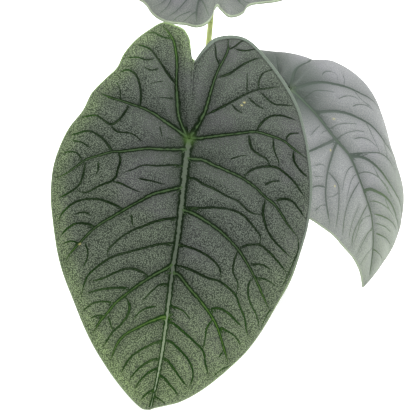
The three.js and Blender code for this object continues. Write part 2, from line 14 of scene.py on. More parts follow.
import bpy
import numpy as np
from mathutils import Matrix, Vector


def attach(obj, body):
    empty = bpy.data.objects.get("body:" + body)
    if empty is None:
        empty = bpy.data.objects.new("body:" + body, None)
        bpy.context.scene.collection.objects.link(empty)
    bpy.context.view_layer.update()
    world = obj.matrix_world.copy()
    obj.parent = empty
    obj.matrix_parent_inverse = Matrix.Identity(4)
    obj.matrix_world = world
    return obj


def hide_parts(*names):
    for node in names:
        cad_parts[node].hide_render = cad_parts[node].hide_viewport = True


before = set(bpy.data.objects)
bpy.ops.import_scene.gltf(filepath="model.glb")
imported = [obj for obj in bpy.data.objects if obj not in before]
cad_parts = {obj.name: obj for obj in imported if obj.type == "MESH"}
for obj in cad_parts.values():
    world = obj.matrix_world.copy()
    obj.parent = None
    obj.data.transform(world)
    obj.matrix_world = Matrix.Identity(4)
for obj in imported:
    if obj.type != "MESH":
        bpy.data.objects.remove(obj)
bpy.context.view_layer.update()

LOG = logging.getLogger("potted_alocasia")
MM = 0.001

Pixels = list[tuple[float, ...]]


# General tools


def smoothstep(low: float, high: float, values: np.ndarray) -> np.ndarray:
    """Smooth rise from 0 at low to 1 at high: 3t^2 - 2t^3 of the clipped share t between them."""
    share = np.clip((values - low) / (high - low), 0.0, 1.0)
    return share * share * (3.0 - 2.0 * share)


def linear_colour(hex_code: str) -> tuple[float, float, float, float]:
    """Turns an sRGB hex colour to linear light.

    Args:
        hex_code: six hex digits, with or without a leading #.

    Returns:
        Linear red, green and blue, and an alpha of 1.
    """
    digits = hex_code.lstrip("#")
    srgb = np.array([int(digits[i:i + 2], 16) for i in (0, 2, 4)]) / 255.0
    light = np.where(srgb <= 0.04045, srgb / 12.92, ((srgb + 0.055) / 1.055) ** 2.4)
    return (*map(float, light), 1.0)


class Curve:
    """A smooth curve through points: a centripetal Catmull-Rom spline, read by share of length."""

    SAMPLES_PER_SPAN = 40

    def __init__(self, points: np.ndarray) -> None:
        """Samples the spline densely and measures its length along the samples.

        Args:
            points: the points that the curve passes through, one per row.
        """
        inner = np.asarray(points, float)
        ends = 2.0 * inner[[0, -1]] - inner[[1, -2]]
        padded = np.vstack([ends[:1], inner, ends[1:]])
        p0, p1, p2, p3 = (padded[i:len(padded) - 3 + i, None, :] for i in range(4))
        gap_a, gap_b, gap_c = (
            np.sqrt(np.linalg.norm(b - a, axis=2, keepdims=True)) for a, b in ((p0, p1), (p1, p2), (p2, p3))
        )
        leave = ((p1 - p0) / gap_a - (p2 - p0) / (gap_a + gap_b) + (p2 - p1) / gap_b) * gap_b
        arrive = ((p2 - p1) / gap_b - (p3 - p1) / (gap_b + gap_c) + (p3 - p2) / gap_c) * gap_b
        t = np.linspace(0.0, 1.0, self.SAMPLES_PER_SPAN, endpoint=False)[None, :, None]
        square, cube = t * t, t * t * t
        spans = (
            (2 * cube - 3 * square + 1) * p1 + (cube - 2 * square + t) * leave
            + (3 * square - 2 * cube) * p2 + (cube - square) * arrive
        )
        self.samples = np.vstack([spans.reshape(-1, inner.shape[1]), inner[-1:]])
        steps = np.linalg.norm(np.diff(self.samples, axis=0), axis=1)
        self.lengths = np.concatenate([[0.0], np.cumsum(steps)])
        self.length = float(self.lengths[-1])

    def at(self, shares: np.ndarray) -> np.ndarray:
        """Points at shares of the curve's length, read off between its samples."""
        wanted = np.atleast_1d(shares) * self.length
        return np.stack([np.interp(wanted, self.lengths, axis) for axis in self.samples.T], axis=1)

    def share_near(self, point: np.ndarray) -> float:
        """Share of the length at which the curve passes nearest to a point."""
        gaps = np.linalg.norm(self.samples - np.asarray(point, float), axis=1)
        return float(self.lengths[gaps.argmin()] / self.length)


@dataclass(frozen=True)
class Sight:
    """The camera's place, as the photograph fixes it: it looks down at the front blade.

    A pixel p at depth d is the point middle + (p - centre) * s * (right, down) + d * forward, with
    s the pixel size at the joint's plane times 1 + d / distance.
    """

    tilt_deg: float = 40.0
    distance: float = 400.0
    pixel: float = 200.0 / 388.0
    centre: float = 208.0
    joint_pixel: tuple[float, float] = (189.0, 139.0)
    joint: tuple[float, float, float] = (0.0, -90.0, 209.0)

    @property
    def axes(self) -> np.ndarray:
        """Rows: right, down and forward directions of the view."""
        tilt = math.radians(self.tilt_deg)
        sine, cosine = math.sin(tilt), math.cos(tilt)
        return np.array([[1.0, 0.0, 0.0], [0.0, -sine, -cosine], [0.0, cosine, -sine]])

    @property
    def middle(self) -> np.ndarray:
        """The point that the middle of the photograph shows in the joint's plane."""
        offset = (self.centre - np.array(self.joint_pixel)) * self.pixel
        return np.array(self.joint) + offset @ self.axes[:2]

    @property
    def eye(self) -> np.ndarray:
        """The camera's place."""
        return self.middle - self.distance * self.axes[2]

    def points(self, drawn: Pixels) -> np.ndarray:
        """Points of the photograph at their depths.

        Args:
            drawn: rows of pixel x, pixel y and depth in millimetres.

        Returns:
            The points in millimetres, one per row.
        """
        x, y, depth = np.asarray(drawn, float).T
        spread = self.pixel * (1.0 + depth / self.distance)
        offsets = np.stack([(x - self.centre) * spread, (y - self.centre) * spread, depth], axis=1)
        return self.middle + offsets @ self.axes

    def points_at_height(self, drawn: Pixels) -> np.ndarray:
        """Points of the photograph where their sight lines pass a height.

        Args:
            drawn: rows of pixel x, pixel y and height in millimetres.

        Returns:
            The points in millimetres, one per row.
        """
        table = np.asarray(drawn, float)
        flat = np.column_stack([table[:, :2], np.zeros(len(table))])
        rays = self.points(flat) - self.eye
        return self.eye + rays * ((table[:, 2] - self.eye[2]) / rays[:, 2])[:, None]

    def project(self, points: np.ndarray) -> np.ndarray:
        """Pixel x, pixel y and depth of points, the reverse of points()."""
        offsets = (points - self.middle) @ self.axes.T
        spread = self.pixel * (1.0 + offsets[:, 2] / self.distance)
        return np.column_stack([offsets[:, :2] / spread[:, None] + self.centre, offsets[:, 2]])


SIGHT = Sight()


def new_object(name: str, points: np.ndarray, faces: list[np.ndarray]) -> bpy.types.Object:
    """Makes a smooth-shaded mesh object at the origin.

    Args:
        name: the object's name.
        points: vertices in millimetres, one per row.
        faces: arrays of vertex numbers, one face per row, each array of one face size.

    Returns:
        The new object, linked to the scene.
    """
    corners = np.concatenate([part.ravel() for part in faces]).astype(np.int32)
    sizes = np.concatenate([np.full(len(part), part.shape[1]) for part in faces])
    mesh = bpy.data.meshes.new(name)
    mesh.vertices.add(len(points))
    mesh.vertices.foreach_set("co", (points * MM).astype(np.float32).ravel())
    mesh.loops.add(len(corners))
    mesh.loops.foreach_set("vertex_index", corners)
    mesh.polygons.add(len(sizes))
    mesh.polygons.foreach_set("loop_start", (np.cumsum(sizes) - sizes).astype(np.int32))
    mesh.update(calc_edges=True)
    mesh.validate()
    mesh.shade_smooth()
    made = bpy.data.objects.new(name, mesh)
    bpy.context.scene.collection.objects.link(made)
    return made


def set_attribute(piece: bpy.types.Object, name: str, values: np.ndarray) -> None:
    """Writes one number per vertex to the piece's mesh under a name."""
    attribute = piece.data.attributes.new(name, "FLOAT", "POINT")
    attribute.data.foreach_set("value", values.astype(np.float32))


def tube(path: np.ndarray, radii: np.ndarray, sides: int) -> tuple[np.ndarray, list[np.ndarray]]:
    """A closed tube: rings of the given radii set square to a path, with a pole at each end.

    A ring's point at angle a is path + radius * (cos a * u + sin a * v), with u and v square to the
    path's direction.

    Args:
        path: centres of the rings, one per row.
        radii: radius at each ring and side, or one per ring.
        sides: number of points round a ring.

    Returns:
        The vertices and the faces.
    """
    along = np.gradient(path, axis=0)
    along /= np.linalg.norm(along, axis=1, keepdims=True)
    u = np.cross(along, [1.0, 0.0, 0.0])
    u /= np.linalg.norm(u, axis=1, keepdims=True)
    v = np.cross(along, u)
    angle = np.linspace(0.0, 2.0 * np.pi, sides, endpoint=False)
    width = np.broadcast_to(np.asarray(radii, float).reshape(len(path), -1), (len(path), sides))
    rings = path[:, None] + width[..., None] * (
        np.cos(angle)[None, :, None] * u[:, None] + np.sin(angle)[None, :, None] * v[:, None]
    )
    points = np.vstack([rings.reshape(-1, 3), path[:1], path[-1:]])
    return points, grid_faces(len(path), sides)


def grid_faces(rings: int, sides: int) -> list[np.ndarray]:
    """Faces of closed rings joined in a row, whose two poles are the last two vertices.

    Args:
        rings: number of rings.
        sides: number of points round each ring.

    Returns:
        Quads between the rings, and triangles from each end ring to its pole.
    """
    index = np.arange(rings * sides).reshape(rings, sides)
    turned = np.roll(index, -1, axis=1)
    quads = np.stack([index[:-1], turned[:-1], turned[1:], index[1:]], axis=-1).reshape(-1, 4)
    first = np.full(sides, rings * sides)
    start = np.stack([first, turned[0], index[0]], axis=-1)
    end = np.stack([first + 1, index[-1], turned[-1]], axis=-1)
    return [quads, np.vstack([start, end])]


def turned_solid(profile: np.ndarray, sides: int) -> tuple[np.ndarray, list[np.ndarray]]:
    """A solid turned about the upright axis.

    A point at angle a is (r cos a, r sin a, z) for each radius r and height z of the profile.

    Args:
        profile: rows of radius and height, from the lower pole outwards and up to the upper pole;
            the first and last rows lie on the axis.
        sides: number of points round a ring.

    Returns:
        The vertices and the faces.
    """
    angle = np.linspace(0.0, 2.0 * np.pi, sides, endpoint=False)
    radius, height = profile[1:-1, 0, None], profile[1:-1, 1, None]
    rings = np.stack([radius * np.cos(angle), radius * np.sin(angle), height + 0.0 * angle], axis=-1)
    poles = np.column_stack([np.zeros((2, 2)), profile[[0, -1], 1]])
    return np.vstack([rings.reshape(-1, 3), poles]), grid_faces(len(profile) - 2, sides)


def rounded_profile(corners: list[tuple[float, float, float]]) -> np.ndarray:
    """Rounds the corners of a profile with a parabola each.

    Args:
        corners: rows of radius, height and rounding, which is how far from the corner its curve
            starts; 0 keeps it sharp.

    Returns:
        Rows of radius and height.
    """
    table = np.array(corners, float)
    rows = []
    for index, (radius, height, rounding) in enumerate(table):
        corner = np.array([radius, height])
        if rounding == 0.0:
            rows.append(corner[None])
            continue
        before, after = (table[index + step, :2] - corner for step in (-1, 1))
        start, end = (corner + rounding * way / np.linalg.norm(way) for way in (before, after))
        t = np.linspace(0.0, 1.0, 5)[:, None]
        rows.append((1 - t) ** 2 * start + 2 * t * (1 - t) * corner + t * t * end)
    return np.vstack(rows)


def waves(points: np.ndarray, length: float, seed: int, count: int = 5) -> np.ndarray:
    """Soft unevenness: the mean of sines that cross space in random directions.

    Args:
        points: places in millimetres, one per row.
        length: middle wavelength in millimetres.
        seed: picks the directions and phases.
        count: number of sines.

    Returns:
        A number near -1 to 1 for each point.
    """
    draw = np.random.default_rng(seed)
    ways = draw.normal(size=(count, 3))
    ways *= (2.0 * np.pi / length) * draw.uniform(0.7, 1.4, (count, 1)) / np.linalg.norm(ways, axis=1, keepdims=True)
    return np.sin(points @ ways.T + draw.uniform(0.0, 2.0 * np.pi, count)).mean(axis=1) * 1.6


# Materials


def add_node(
    tree: bpy.types.NodeTree,
    kind: str,
    values: dict | None = None,
    links: dict | None = None,
    **settings: object,
) -> bpy.types.Node:
    """Adds a node with its settings, its sockets' own values and its links.

    Args:
        tree: the material's or world's node tree.
        kind: the node's Blender type.
        values: socket name or number to its value.
        links: socket name or number to the output that feeds it.
        settings: the node's own properties.

    Returns:
        The new node.
    """
    node = tree.nodes.new(kind)
    for name, value in settings.items():
        setattr(node, name, value)
    for socket, value in (values or {}).items():
        node.inputs[socket].default_value = value
    for socket, output in (links or {}).items():
        tree.links.new(output, node.inputs[socket])
    return node


class MaterialMaker:
    """Builds one material: a Principled shader, and shorthand for the steps that feed it."""

    def __init__(self, name: str, shader_values: dict) -> None:
        """Starts the material.

        Args:
            name: the material's name.
            shader_values: the shader's sockets that are the same all over the surface.
        """
        self.material = bpy.data.materials.new(name)
        self.material.use_nodes = True
        self.tree = self.material.node_tree
        self.tree.nodes.clear()
        self.shader = add_node(self.tree, "ShaderNodeBsdfPrincipled", shader_values)
        add_node(self.tree, "ShaderNodeOutputMaterial", links={"Surface": self.shader.outputs[0]})
        self.place = add_node(self.tree, "ShaderNodeTexCoord").outputs["Object"]

    def number(self, name: str) -> bpy.types.NodeSocket:
        """Reads one of the mesh's own attributes."""
        return add_node(self.tree, "ShaderNodeAttribute", attribute_name=name).outputs["Fac"]

    def ramp(self, source: bpy.types.NodeSocket, low: float, high: float, start: float = 0.0,
             end: float = 1.0) -> bpy.types.NodeSocket:
        """Smooth step of a number from start, where it is low, to end, where it is high."""
        values = {"From Min": low, "From Max": high, "To Min": start, "To Max": end}
        node = add_node(self.tree, "ShaderNodeMapRange", values, {"Value": source},
                        interpolation_type="SMOOTHSTEP")
        return node.outputs["Result"]

    def sum(self, operation: str, first: bpy.types.NodeSocket,
            second: bpy.types.NodeSocket | float = 0.0) -> bpy.types.NodeSocket:
        """One arithmetic step on a number, with another number or a constant."""
        links = {0: first}
        values = {}
        (values if isinstance(second, (int, float)) else links)[1] = second
        return add_node(self.tree, "ShaderNodeMath", values, links, operation=operation).outputs[0]

    def blend(self, share: bpy.types.NodeSocket, first: bpy.types.NodeSocket | str,
              second: bpy.types.NodeSocket | str) -> bpy.types.NodeSocket:
        """Mixes two colours, each a hex code or another step's output, by a share."""
        values, links = {}, {0: share}
        for socket, colour in ((6, first), (7, second)):
            if isinstance(colour, str):
                values[socket] = linear_colour(colour)
            else:
                links[socket] = colour
        node = add_node(self.tree, "ShaderNodeMix", values, links, data_type="RGBA")
        return node.outputs[2]

    def noise(self, size_mm: float, detail: float = 2.0, roughness: float = 0.5) -> bpy.types.NodeSocket:
        """Cloudy noise whose blotches are about size_mm across, on Object coordinates."""
        values = {"Scale": 0.6 / (size_mm * MM), "Detail": detail, "Roughness": roughness}
        return add_node(self.tree, "ShaderNodeTexNoise", values, {"Vector": self.place}).outputs["Fac"]

    def cells(self, size_mm: float, feature: str = "F1") -> bpy.types.Node:
        """Cells about size_mm across, on Object coordinates."""
        return add_node(self.tree, "ShaderNodeTexVoronoi", {"Scale": 1.0 / (size_mm * MM)},
                        {"Vector": self.place}, feature=feature)

    def bump(self, height: bpy.types.NodeSocket, depth_mm: float, strength: float = 1.0) -> None:
        """Lets a height pattern turn the light, depth_mm from its lowest to its highest point."""
        values = {"Strength": strength, "Distance": depth_mm * MM}
        node = add_node(self.tree, "ShaderNodeBump", values, {"Height": height})
        self.tree.links.new(node.outputs[0], self.shader.inputs["Normal"])

    def feed(self, socket: str, output: bpy.types.NodeSocket) -> None:
        """Feeds one of the shader's sockets."""
        self.tree.links.new(output, self.shader.inputs[socket])


@dataclass(frozen=True)
class LeafFinish:
    """Waxy living leaf, finely pebbled: dull between the grains, with a pearly gloss at a low angle.

    The veins' own colours follow the mesh's vein attributes, so they lie exactly in the grooves: a
    dark edge on either side of a paler core, partly the veins' own dark green and partly painted
    groove shade, and one dark line where a vein is too fine for both. The same dark colour paints
    shade on the panels beside deep grooves, near the joint and along a margin that rolls under.
    """

    name: str
    hollow: str
    grain: str
    tint: str
    flush_hollow: str
    flush: str
    # Dark edge colour of the veins, partly their own dark green and partly painted groove shade; it is also the colour
    # of every painted shade on the blade
    vein_edge_and_shade: str
    green_vein_edge_and_shade: str
    core: str
    green_core: str
    rib: str
    rib_end: str
    # Paler margin band: a painted highlight where the margin rolls under, and a thin green margin line elsewhere
    joint: str
    rim: str
    green_rim: str
    underside: str
    # How strongly the panels beside deep grooves are painted darker, as painted groove shade
    groove_shade_amount: float
    speck: str = "#8b8558"
    grain_mm: float = 0.6
    roughness: float = 0.5
    gloss: float = 0.3
    sheen: float = 0.04

    def material(self) -> bpy.types.Material:
        """Builds the leaf's material.

        Returns:
            The new material.
        """
        maker = MaterialMaker(self.name, {
            "Roughness": self.roughness,
            "IOR": 1.42,
            "Specular IOR Level": self.gloss,
            "Sheen Weight": self.sheen,
            "Sheen Roughness": 0.35,
            "Sheen Tint": linear_colour("#dfe4e2"),
        })
        wobble = maker.sum("MULTIPLY", maker.sum("SUBTRACT", maker.noise(1.2, 2.0), 0.5), 1.0)
        side = maker.sum("ABSOLUTE", maker.number("vein_side"))
        near = maker.sum("SUBTRACT", maker.number("vein_near"), 1.3)
        reach = maker.sum("ADD", maker.sum("MAXIMUM", side, near), wobble)
        width = maker.number("vein_width")
        flush = maker.number("flush")

        # Grains are drawn a little coarser than the real 0.5 mm ones, so that the render shows them
        grain = maker.cells(self.grain_mm).outputs["Distance"]
        dot = maker.ramp(grain, 0.7, 0.17)
        streak = maker.noise(1.5, 2.0, 0.7)
        grainy = maker.sum("ADD", dot, maker.sum("MULTIPLY", maker.sum("SUBTRACT", streak, 0.5), 0.2))

        panel = maker.blend(grainy, self.hollow, self.grain)
        cloud = maker.noise(18.0, 3.0)
        panel = maker.blend(maker.ramp(cloud, 0.48, 0.7, 0.0, 0.35), panel, self.tint)
        panel = maker.blend(maker.sum("MULTIPLY", flush, maker.ramp(streak, 0.2, 0.7, 0.75, 1.0)), panel,
                            maker.blend(grainy, self.flush_hollow, self.flush))
        # Painted shade: the panels are painted darker beside the veins, by the groove's depth
        panel = maker.blend(maker.sum("MULTIPLY", maker.number("groove"), self.groove_shade_amount), panel, self.vein_edge_and_shade)
        # Painted shade near the joint, and a painted shadow spot where another blade keeps the light off
        panel = maker.blend(maker.number("painted_shade"), panel, self.vein_edge_and_shade)

        green = maker.ramp(flush, 0.02, 0.3)
        # Vein edges: their own dark green with painted groove shade, greener where the blade is flushed
        vein_edge_and_shade = maker.blend(green, self.vein_edge_and_shade, self.green_vein_edge_and_shade)
        core = maker.blend(green, self.core, self.green_core)
        inner = maker.sum("SUBTRACT", maker.number("vein_core"), reach)
        midrib = maker.ramp(maker.number("vein_core"), 0.34, 0.4)
        rib = maker.blend(maker.ramp(width, 1.6, 1.15), self.rib, self.rib_end)
        core = maker.blend(midrib, core, rib)
        vein = maker.blend(maker.ramp(inner, -0.16, 0.14), vein_edge_and_shade, core)
        shown = maker.sum("MULTIPLY", maker.ramp(reach, 1.3, 0.8), maker.ramp(cloud, 0.3, 0.55, 0.72, 1.0))
        shown = maker.sum("MULTIPLY", shown, maker.ramp(width, 0.2, 0.5, 0.6, 1.0))
        top = maker.blend(shown, panel, vein)
        top = maker.blend(maker.number("joint_glow"), top, self.joint)
        edge = maker.number("edge")
        # Painted light where the margin rolls under, though the mesh has no roll there: a painted shade line about 2 to
        # 3.4 mm within the margin, then a paler painted highlight band along it; elsewhere the band is a thin green
        # margin line
        painted_rim_shading = maker.number("painted_rim_shading")
        painted_rim_shade = maker.sum("MULTIPLY", painted_rim_shading, maker.ramp(edge, 3.4, 2.2, 0.0, 0.6))
        top = maker.blend(painted_rim_shade, top, self.vein_edge_and_shade)
        band = maker.sum("ADD", maker.sum("MULTIPLY", painted_rim_shading, 0.85), 0.5)
        band = maker.ramp(maker.sum("DIVIDE", edge, band), 1.6, 1.2)
        top = maker.blend(band, top, maker.blend(painted_rim_shading, self.green_rim, self.rim))
        top = maker.blend(maker.number("speck"), top, self.speck)

        below = maker.blend(maker.ramp(cloud, 0.35, 0.7), self.underside, self.flush)
        below = maker.blend(maker.ramp(reach, 1.3, 0.6, 0.0, 0.6), below, self.core)
        maker.feed("Base Color", maker.blend(maker.number("under"), top, below))
        maker.feed("Specular IOR Level", maker.ramp(reach, 0.7, 1.7, 0.03, self.gloss))

        raised = maker.sum("MULTIPLY", dot, maker.ramp(reach, 0.8, 1.6, 0.25, 1.0))
        maker.bump(maker.sum("ADD", raised, maker.sum("MULTIPLY", streak, 0.4)), 0.25)
        return maker.material


@dataclass(frozen=True)
class StalkFinish:
    """Pale, juicy leaf stalk: smooth skin with faint lengthwise streaks and a few brown flecks."""

    name: str = "living_stalk"
    skin: str = "#c6ce8c"
    streak: str = "#a9b870"
    fleck: str = "#6e4a2e"
    base: str = "#d9d6b0"

    def material(self) -> bpy.types.Material:
        """Builds the stalk's material.

        Returns:
            The new material.
        """
        maker = MaterialMaker(self.name, {"Roughness": 0.42, "IOR": 1.42, "Subsurface Weight": 0.06})
        maker.shader.inputs["Subsurface Radius"].default_value = (0.004, 0.005, 0.002)
        streaks = maker.ramp(maker.noise(2.2, 3.0, 0.6), 0.42, 0.68, 0.0, 0.7)
        colour = maker.blend(streaks, self.skin, self.streak)
        colour = maker.blend(maker.ramp(maker.number("from_base"), 30.0, 4.0, 0.0, 0.7), colour, self.base)
        flecks = maker.ramp(maker.noise(7.0, 1.0, 0.3), 0.735, 0.76)
        colour = maker.blend(maker.number("fleck"), maker.blend(flecks, colour, self.fleck), self.fleck)
        maker.feed("Base Color", colour)
        maker.bump(maker.noise(1.2, 2.0), 0.08)
        return maker.material


@dataclass(frozen=True)
class RhizomeFinish:
    """Corky rhizome: tan bark with dark rings where old leaves came away."""

    name: str = "corky_rhizome"
    bark: str = "#8a7350"
    dark: str = "#4b3a26"
    scar: str = "#2f2418"

    def material(self) -> bpy.types.Material:
        """Builds the rhizome's material.

        Returns:
            The new material.
        """
        maker = MaterialMaker(self.name, {"Roughness": 0.8, "IOR": 1.45})
        rough = maker.noise(2.5, 5.0, 0.65)
        colour = maker.blend(maker.ramp(rough, 0.35, 0.65), self.bark, self.dark)
        colour = maker.blend(maker.number("scar"), colour, self.scar)
        maker.feed("Base Color", colour)
        maker.bump(rough, 0.5)
        return maker.material


@dataclass(frozen=True)
class GritFinish:
    """One ingredient of the potting mix, each lump its own shade: bark, fine compost or perlite."""

    name: str
    dark: str
    light: str
    pore_mm: float
    depth_mm: float
    roughness: float = 0.92

    def material(self) -> bpy.types.Material:
        """Builds the ingredient's material.

        Returns:
            The new material.
        """
        maker = MaterialMaker(self.name, {"Roughness": self.roughness, "IOR": 1.45})
        fine = maker.noise(self.pore_mm, 5.0, 0.7)
        share = maker.sum("ADD", maker.number("shade"), maker.sum("SUBTRACT", fine, 0.5))
        maker.feed("Base Color", maker.blend(maker.ramp(share, 0.0, 1.0), self.dark, self.light))
        maker.bump(fine, self.depth_mm)
        return maker.material


@dataclass(frozen=True)
class PotFinish:
    """Injection-moulded polypropylene: even anthracite, a fine eggshell gloss, dust near the base."""

    name: str = "moulded_polypropylene"
    body: str = "#3a3d3f"
    worn: str = "#54585a"
    dust: str = "#6b6459"

    def material(self) -> bpy.types.Material:
        """Builds the pot's material.

        Returns:
            The new material.
        """
        maker = MaterialMaker(self.name, {"Roughness": 0.48, "IOR": 1.49})
        cloud = maker.noise(30.0, 4.0)
        colour = maker.blend(maker.ramp(cloud, 0.4, 0.75, 0.0, 0.35), self.body, self.worn)
        height = add_node(maker.tree, "ShaderNodeSeparateXYZ", links={0: maker.place}).outputs["Z"]
        low = maker.sum("MULTIPLY", maker.ramp(height, 0.03, 0.0, 0.0, 0.5), maker.noise(6.0, 4.0))
        maker.feed("Base Color", maker.blend(low, colour, self.dust))
        maker.feed("Roughness", maker.ramp(cloud, 0.3, 0.8, 0.42, 0.58))
        maker.bump(maker.noise(0.9, 2.0), 0.03)
        return maker.material


DARK_LEAF = LeafFinish(
    name="dark_waxy_leaf",
    hollow="#121912",
    grain="#4f574d",
    tint="#464349",
    flush_hollow="#3a4a27",
    flush="#8ba168",
    vein_edge_and_shade="#061004",
    green_vein_edge_and_shade="#0f2408",
    core="#2a3823",
    green_core="#364c20",
    rib="#394036",
    rib_end="#646f5a",
    joint="#2e411d",
    rim="#475047",
    green_rim="#5f7247",
    underside="#6f8458",
    groove_shade_amount=0.75,
)
# Painted sheen: a paler, greyer copy of the leaf finish for the right blade, whose colours paint the pearly sheen and
# white reflections it shows at a low angle
SHEEN_PAINTED_LEAF = LeafFinish(
    name="sheen_painted_waxy_leaf",
    hollow="#5f6162",
    grain="#7b7c7c",
    tint="#77737d",
    flush_hollow="#65725a",
    flush="#879678",
    vein_edge_and_shade="#333a35",
    green_vein_edge_and_shade="#3c4a33",
    core="#373e38",
    green_core="#43513a",
    rib="#2b322d",
    rib_end="#3a4439",
    joint="#4c5a40",
    rim="#7b847f",
    green_rim="#79836f",
    underside="#7b9166",
    groove_shade_amount=0.7,
    roughness=0.5,
    gloss=0.25,
    sheen=0.0,
)
# A darker painted-sheen copy for the back blade
BACK_SHEEN_PAINTED_LEAF = replace(SHEEN_PAINTED_LEAF, name="back_sheen_painted_waxy_leaf", hollow="#464948", grain="#606060", tint="#5e5a63")


# Leaves


class VeinRank(Enum):
    """Forms of vein: half width at its start and end, groove depth, how far the groove spreads, and
    the share of the half width that the paler core takes."""

    MIDRIB = (2.6, 1.0, 2.8, 5.5, 0.42)
    LOBE = (1.6, 0.65, 2.4, 5.0, 0.28)
    MAIN = (1.3, 0.6, 2.2, 4.6, 0.28)
    BRANCH = (0.7, 0.44, 1.6, 3.4, 0.0)
    FINE = (0.55, 0.36, 1.0, 2.4, 0.0)
    FAINT = (0.42, 0.3, 0.3, 1.8, 0.0)


@dataclass(frozen=True)
class Vein:
    """One vein: its rank and the points it passes, in pixels of the photograph."""

    rank: VeinRank
    pixels: tuple[tuple[float, float], ...]


def veins(rank: VeinRank, *lines: Pixels) -> list[Vein]:
    """Several veins of one rank."""
    return [Vein(rank, tuple(line)) for line in lines]


def nearest_on_line(points: np.ndarray, line: np.ndarray) -> tuple[np.ndarray, np.ndarray, np.ndarray]:
    """Finds where a line of straight pieces passes nearest to each point.

    Args:
        points: the points, one per row.
        line: the line's points, one per row.

    Returns:
        For each point the number of the nearest piece, the share of it, and the offset from there.
    """
    way = np.diff(line, axis=0)
    along = (points @ way.T - (line[:-1] * way).sum(axis=1)) / (way**2).sum(axis=1)
    along = np.clip(along, 0.0, 1.0)
    offset = points[:, None] - (line[:-1] + along[..., None] * way)
    piece = (offset**2).sum(axis=2).argmin(axis=1)
    row = np.arange(len(points))
    return piece, along[row, piece], offset[row, piece]


def within_reach(points: np.ndarray, line: np.ndarray, reach: float) -> np.ndarray:
    """Numbers of the points inside a line's bounding box, widened by a reach."""
    low, high = line.min(axis=0) - reach, line.max(axis=0) + reach
    return np.flatnonzero(np.all((points > low) & (points < high), axis=1))


def distance_to_ring(points: np.ndarray, ring: np.ndarray, reach: float = 30.0) -> np.ndarray:
    """Distance of each point to a closed line, up to a reach.

    Args:
        points: the points, one per row.
        ring: the line's points, one per row.
        reach: the most that is measured.

    Returns:
        The distances.
    """
    closed = np.vstack([ring, ring[:1]])
    distance = np.full(len(points), reach)
    stretch = 12
    for first in range(0, len(ring), stretch):
        line = closed[first:first + stretch + 1]
        chosen = within_reach(points, line, reach)
        _, _, offset = nearest_on_line(points[chosen], line)
        distance[chosen] = np.minimum(distance[chosen], np.linalg.norm(offset, axis=1))
    return distance


@dataclass
class VeinField:
    """What each point of a blade knows of its veins, as one number per point.

    near and side are the distance to the nearest vein in half widths of that vein, without and with
    a sign for the vein's side; width is that half width, core the share of it that the core takes,
    and groove the depth of the relief.
    """

    near: np.ndarray
    side: np.ndarray
    width: np.ndarray
    core: np.ndarray
    groove: np.ndarray

    REACH = 18.0
    FAR = 40.0

    @classmethod
    def empty(cls, count: int) -> "VeinField":
        """A field with no vein near any of its points."""
        far = np.full(count, cls.FAR)
        return cls(far.copy(), far.copy(), np.full(count, 0.4), np.zeros(count), np.zeros(count))

    def add(
        self,
        points: np.ndarray,
        normals: np.ndarray,
        line: np.ndarray,
        rank: VeinRank,
        scale: float,
    ) -> None:
        """Measures the points near one vein.

        The groove falls off from the vein as depth * exp(-d / spread), rounded in its middle. A
        main vein flares over its first few millimetres, and every vein but the midrib runs out to
        a point over its last tenth.

        Args:
            points: the blade's points in millimetres.
            normals: the blade's normals at them.
            line: the vein's points in millimetres.
            rank: the vein's form.
            scale: how wide the blade's veins are beside the rank's widths.
        """
        start_width, end_width, depth, spread, core = rank.value
        chosen = within_reach(points, line, self.REACH)
        piece, along, offset = nearest_on_line(points[chosen], line)
        way = np.diff(line, axis=0)
        length = np.linalg.norm(way, axis=1)
        taper = ((np.cumsum(length) - length)[piece] + along * length[piece]) / length.sum()
        width = (end_width + (start_width - end_width) * (1.0 - taper) ** 1.5) * scale
        if rank in (VeinRank.LOBE, VeinRank.MAIN):
            width *= 1.0 + 0.35 * np.exp(-taper * length.sum() / 2.5)
        if rank in (VeinRank.BRANCH, VeinRank.FINE, VeinRank.FAINT):
            width *= 0.5 + 0.5 * smoothstep(0.0, 0.12, taper)
        if rank is not VeinRank.MIDRIB:
            width *= 0.4 + 0.6 * smoothstep(1.0, 0.86, taper)
        distance = np.linalg.norm(offset, axis=1)
        across = (np.cross(way[piece], offset) * normals[chosen]).sum(axis=1)
        share = distance / width
        groove = depth * (1.0 - 0.45 * taper) * np.exp(-(np.hypot(distance, 0.5) - 0.5) / spread)
        nearer = share < self.near[chosen]
        found = chosen[nearer]
        self.near[found] = share[nearer]
        self.side[found] = (share * np.where(across < 0.0, -1.0, 1.0))[nearer]
        self.width[found] = width[nearer]
        self.core[found] = core
        self.groove[chosen] = np.maximum(self.groove[chosen], groove)


FRONT_MIDRIB = [
    (189, 139, 0), (187.5, 150, -0.5), (184.5, 175, -1.5), (182, 200, -2), (178.5, 232, -2),
    (174, 260, -1), (170, 290, 0.5), (166.5, 320, 2.5), (161.5, 355, 6), (156, 385, 10), (149.5, 410, 14),
]
FRONT_RIGHT_MARGIN = [
    (195, 61, 5), (200, 53.5, 5), (205, 47, 5.5), (213, 39.5, 7), (223, 36.3, 9), (234, 35.8, 11),
    (246, 39, 12), (258, 48.5, 12), (276, 70, 11), (290, 91, 12), (299, 109.5, 13), (304.5, 130, 12),
    (309.5, 155, 11), (312, 180, 12), (311, 205, 13), (307, 230, 12), (300.5, 252, 10.5), (291, 279, 10),
    (279.5, 300, 11), (262, 330, 11), (247.5, 350, 10), (227, 370, 10.5), (200, 391, 12),
    (180, 401.5, 12), (165, 405.5, 12.5), (155, 408, 13.5), (149.5, 410, 14),
]
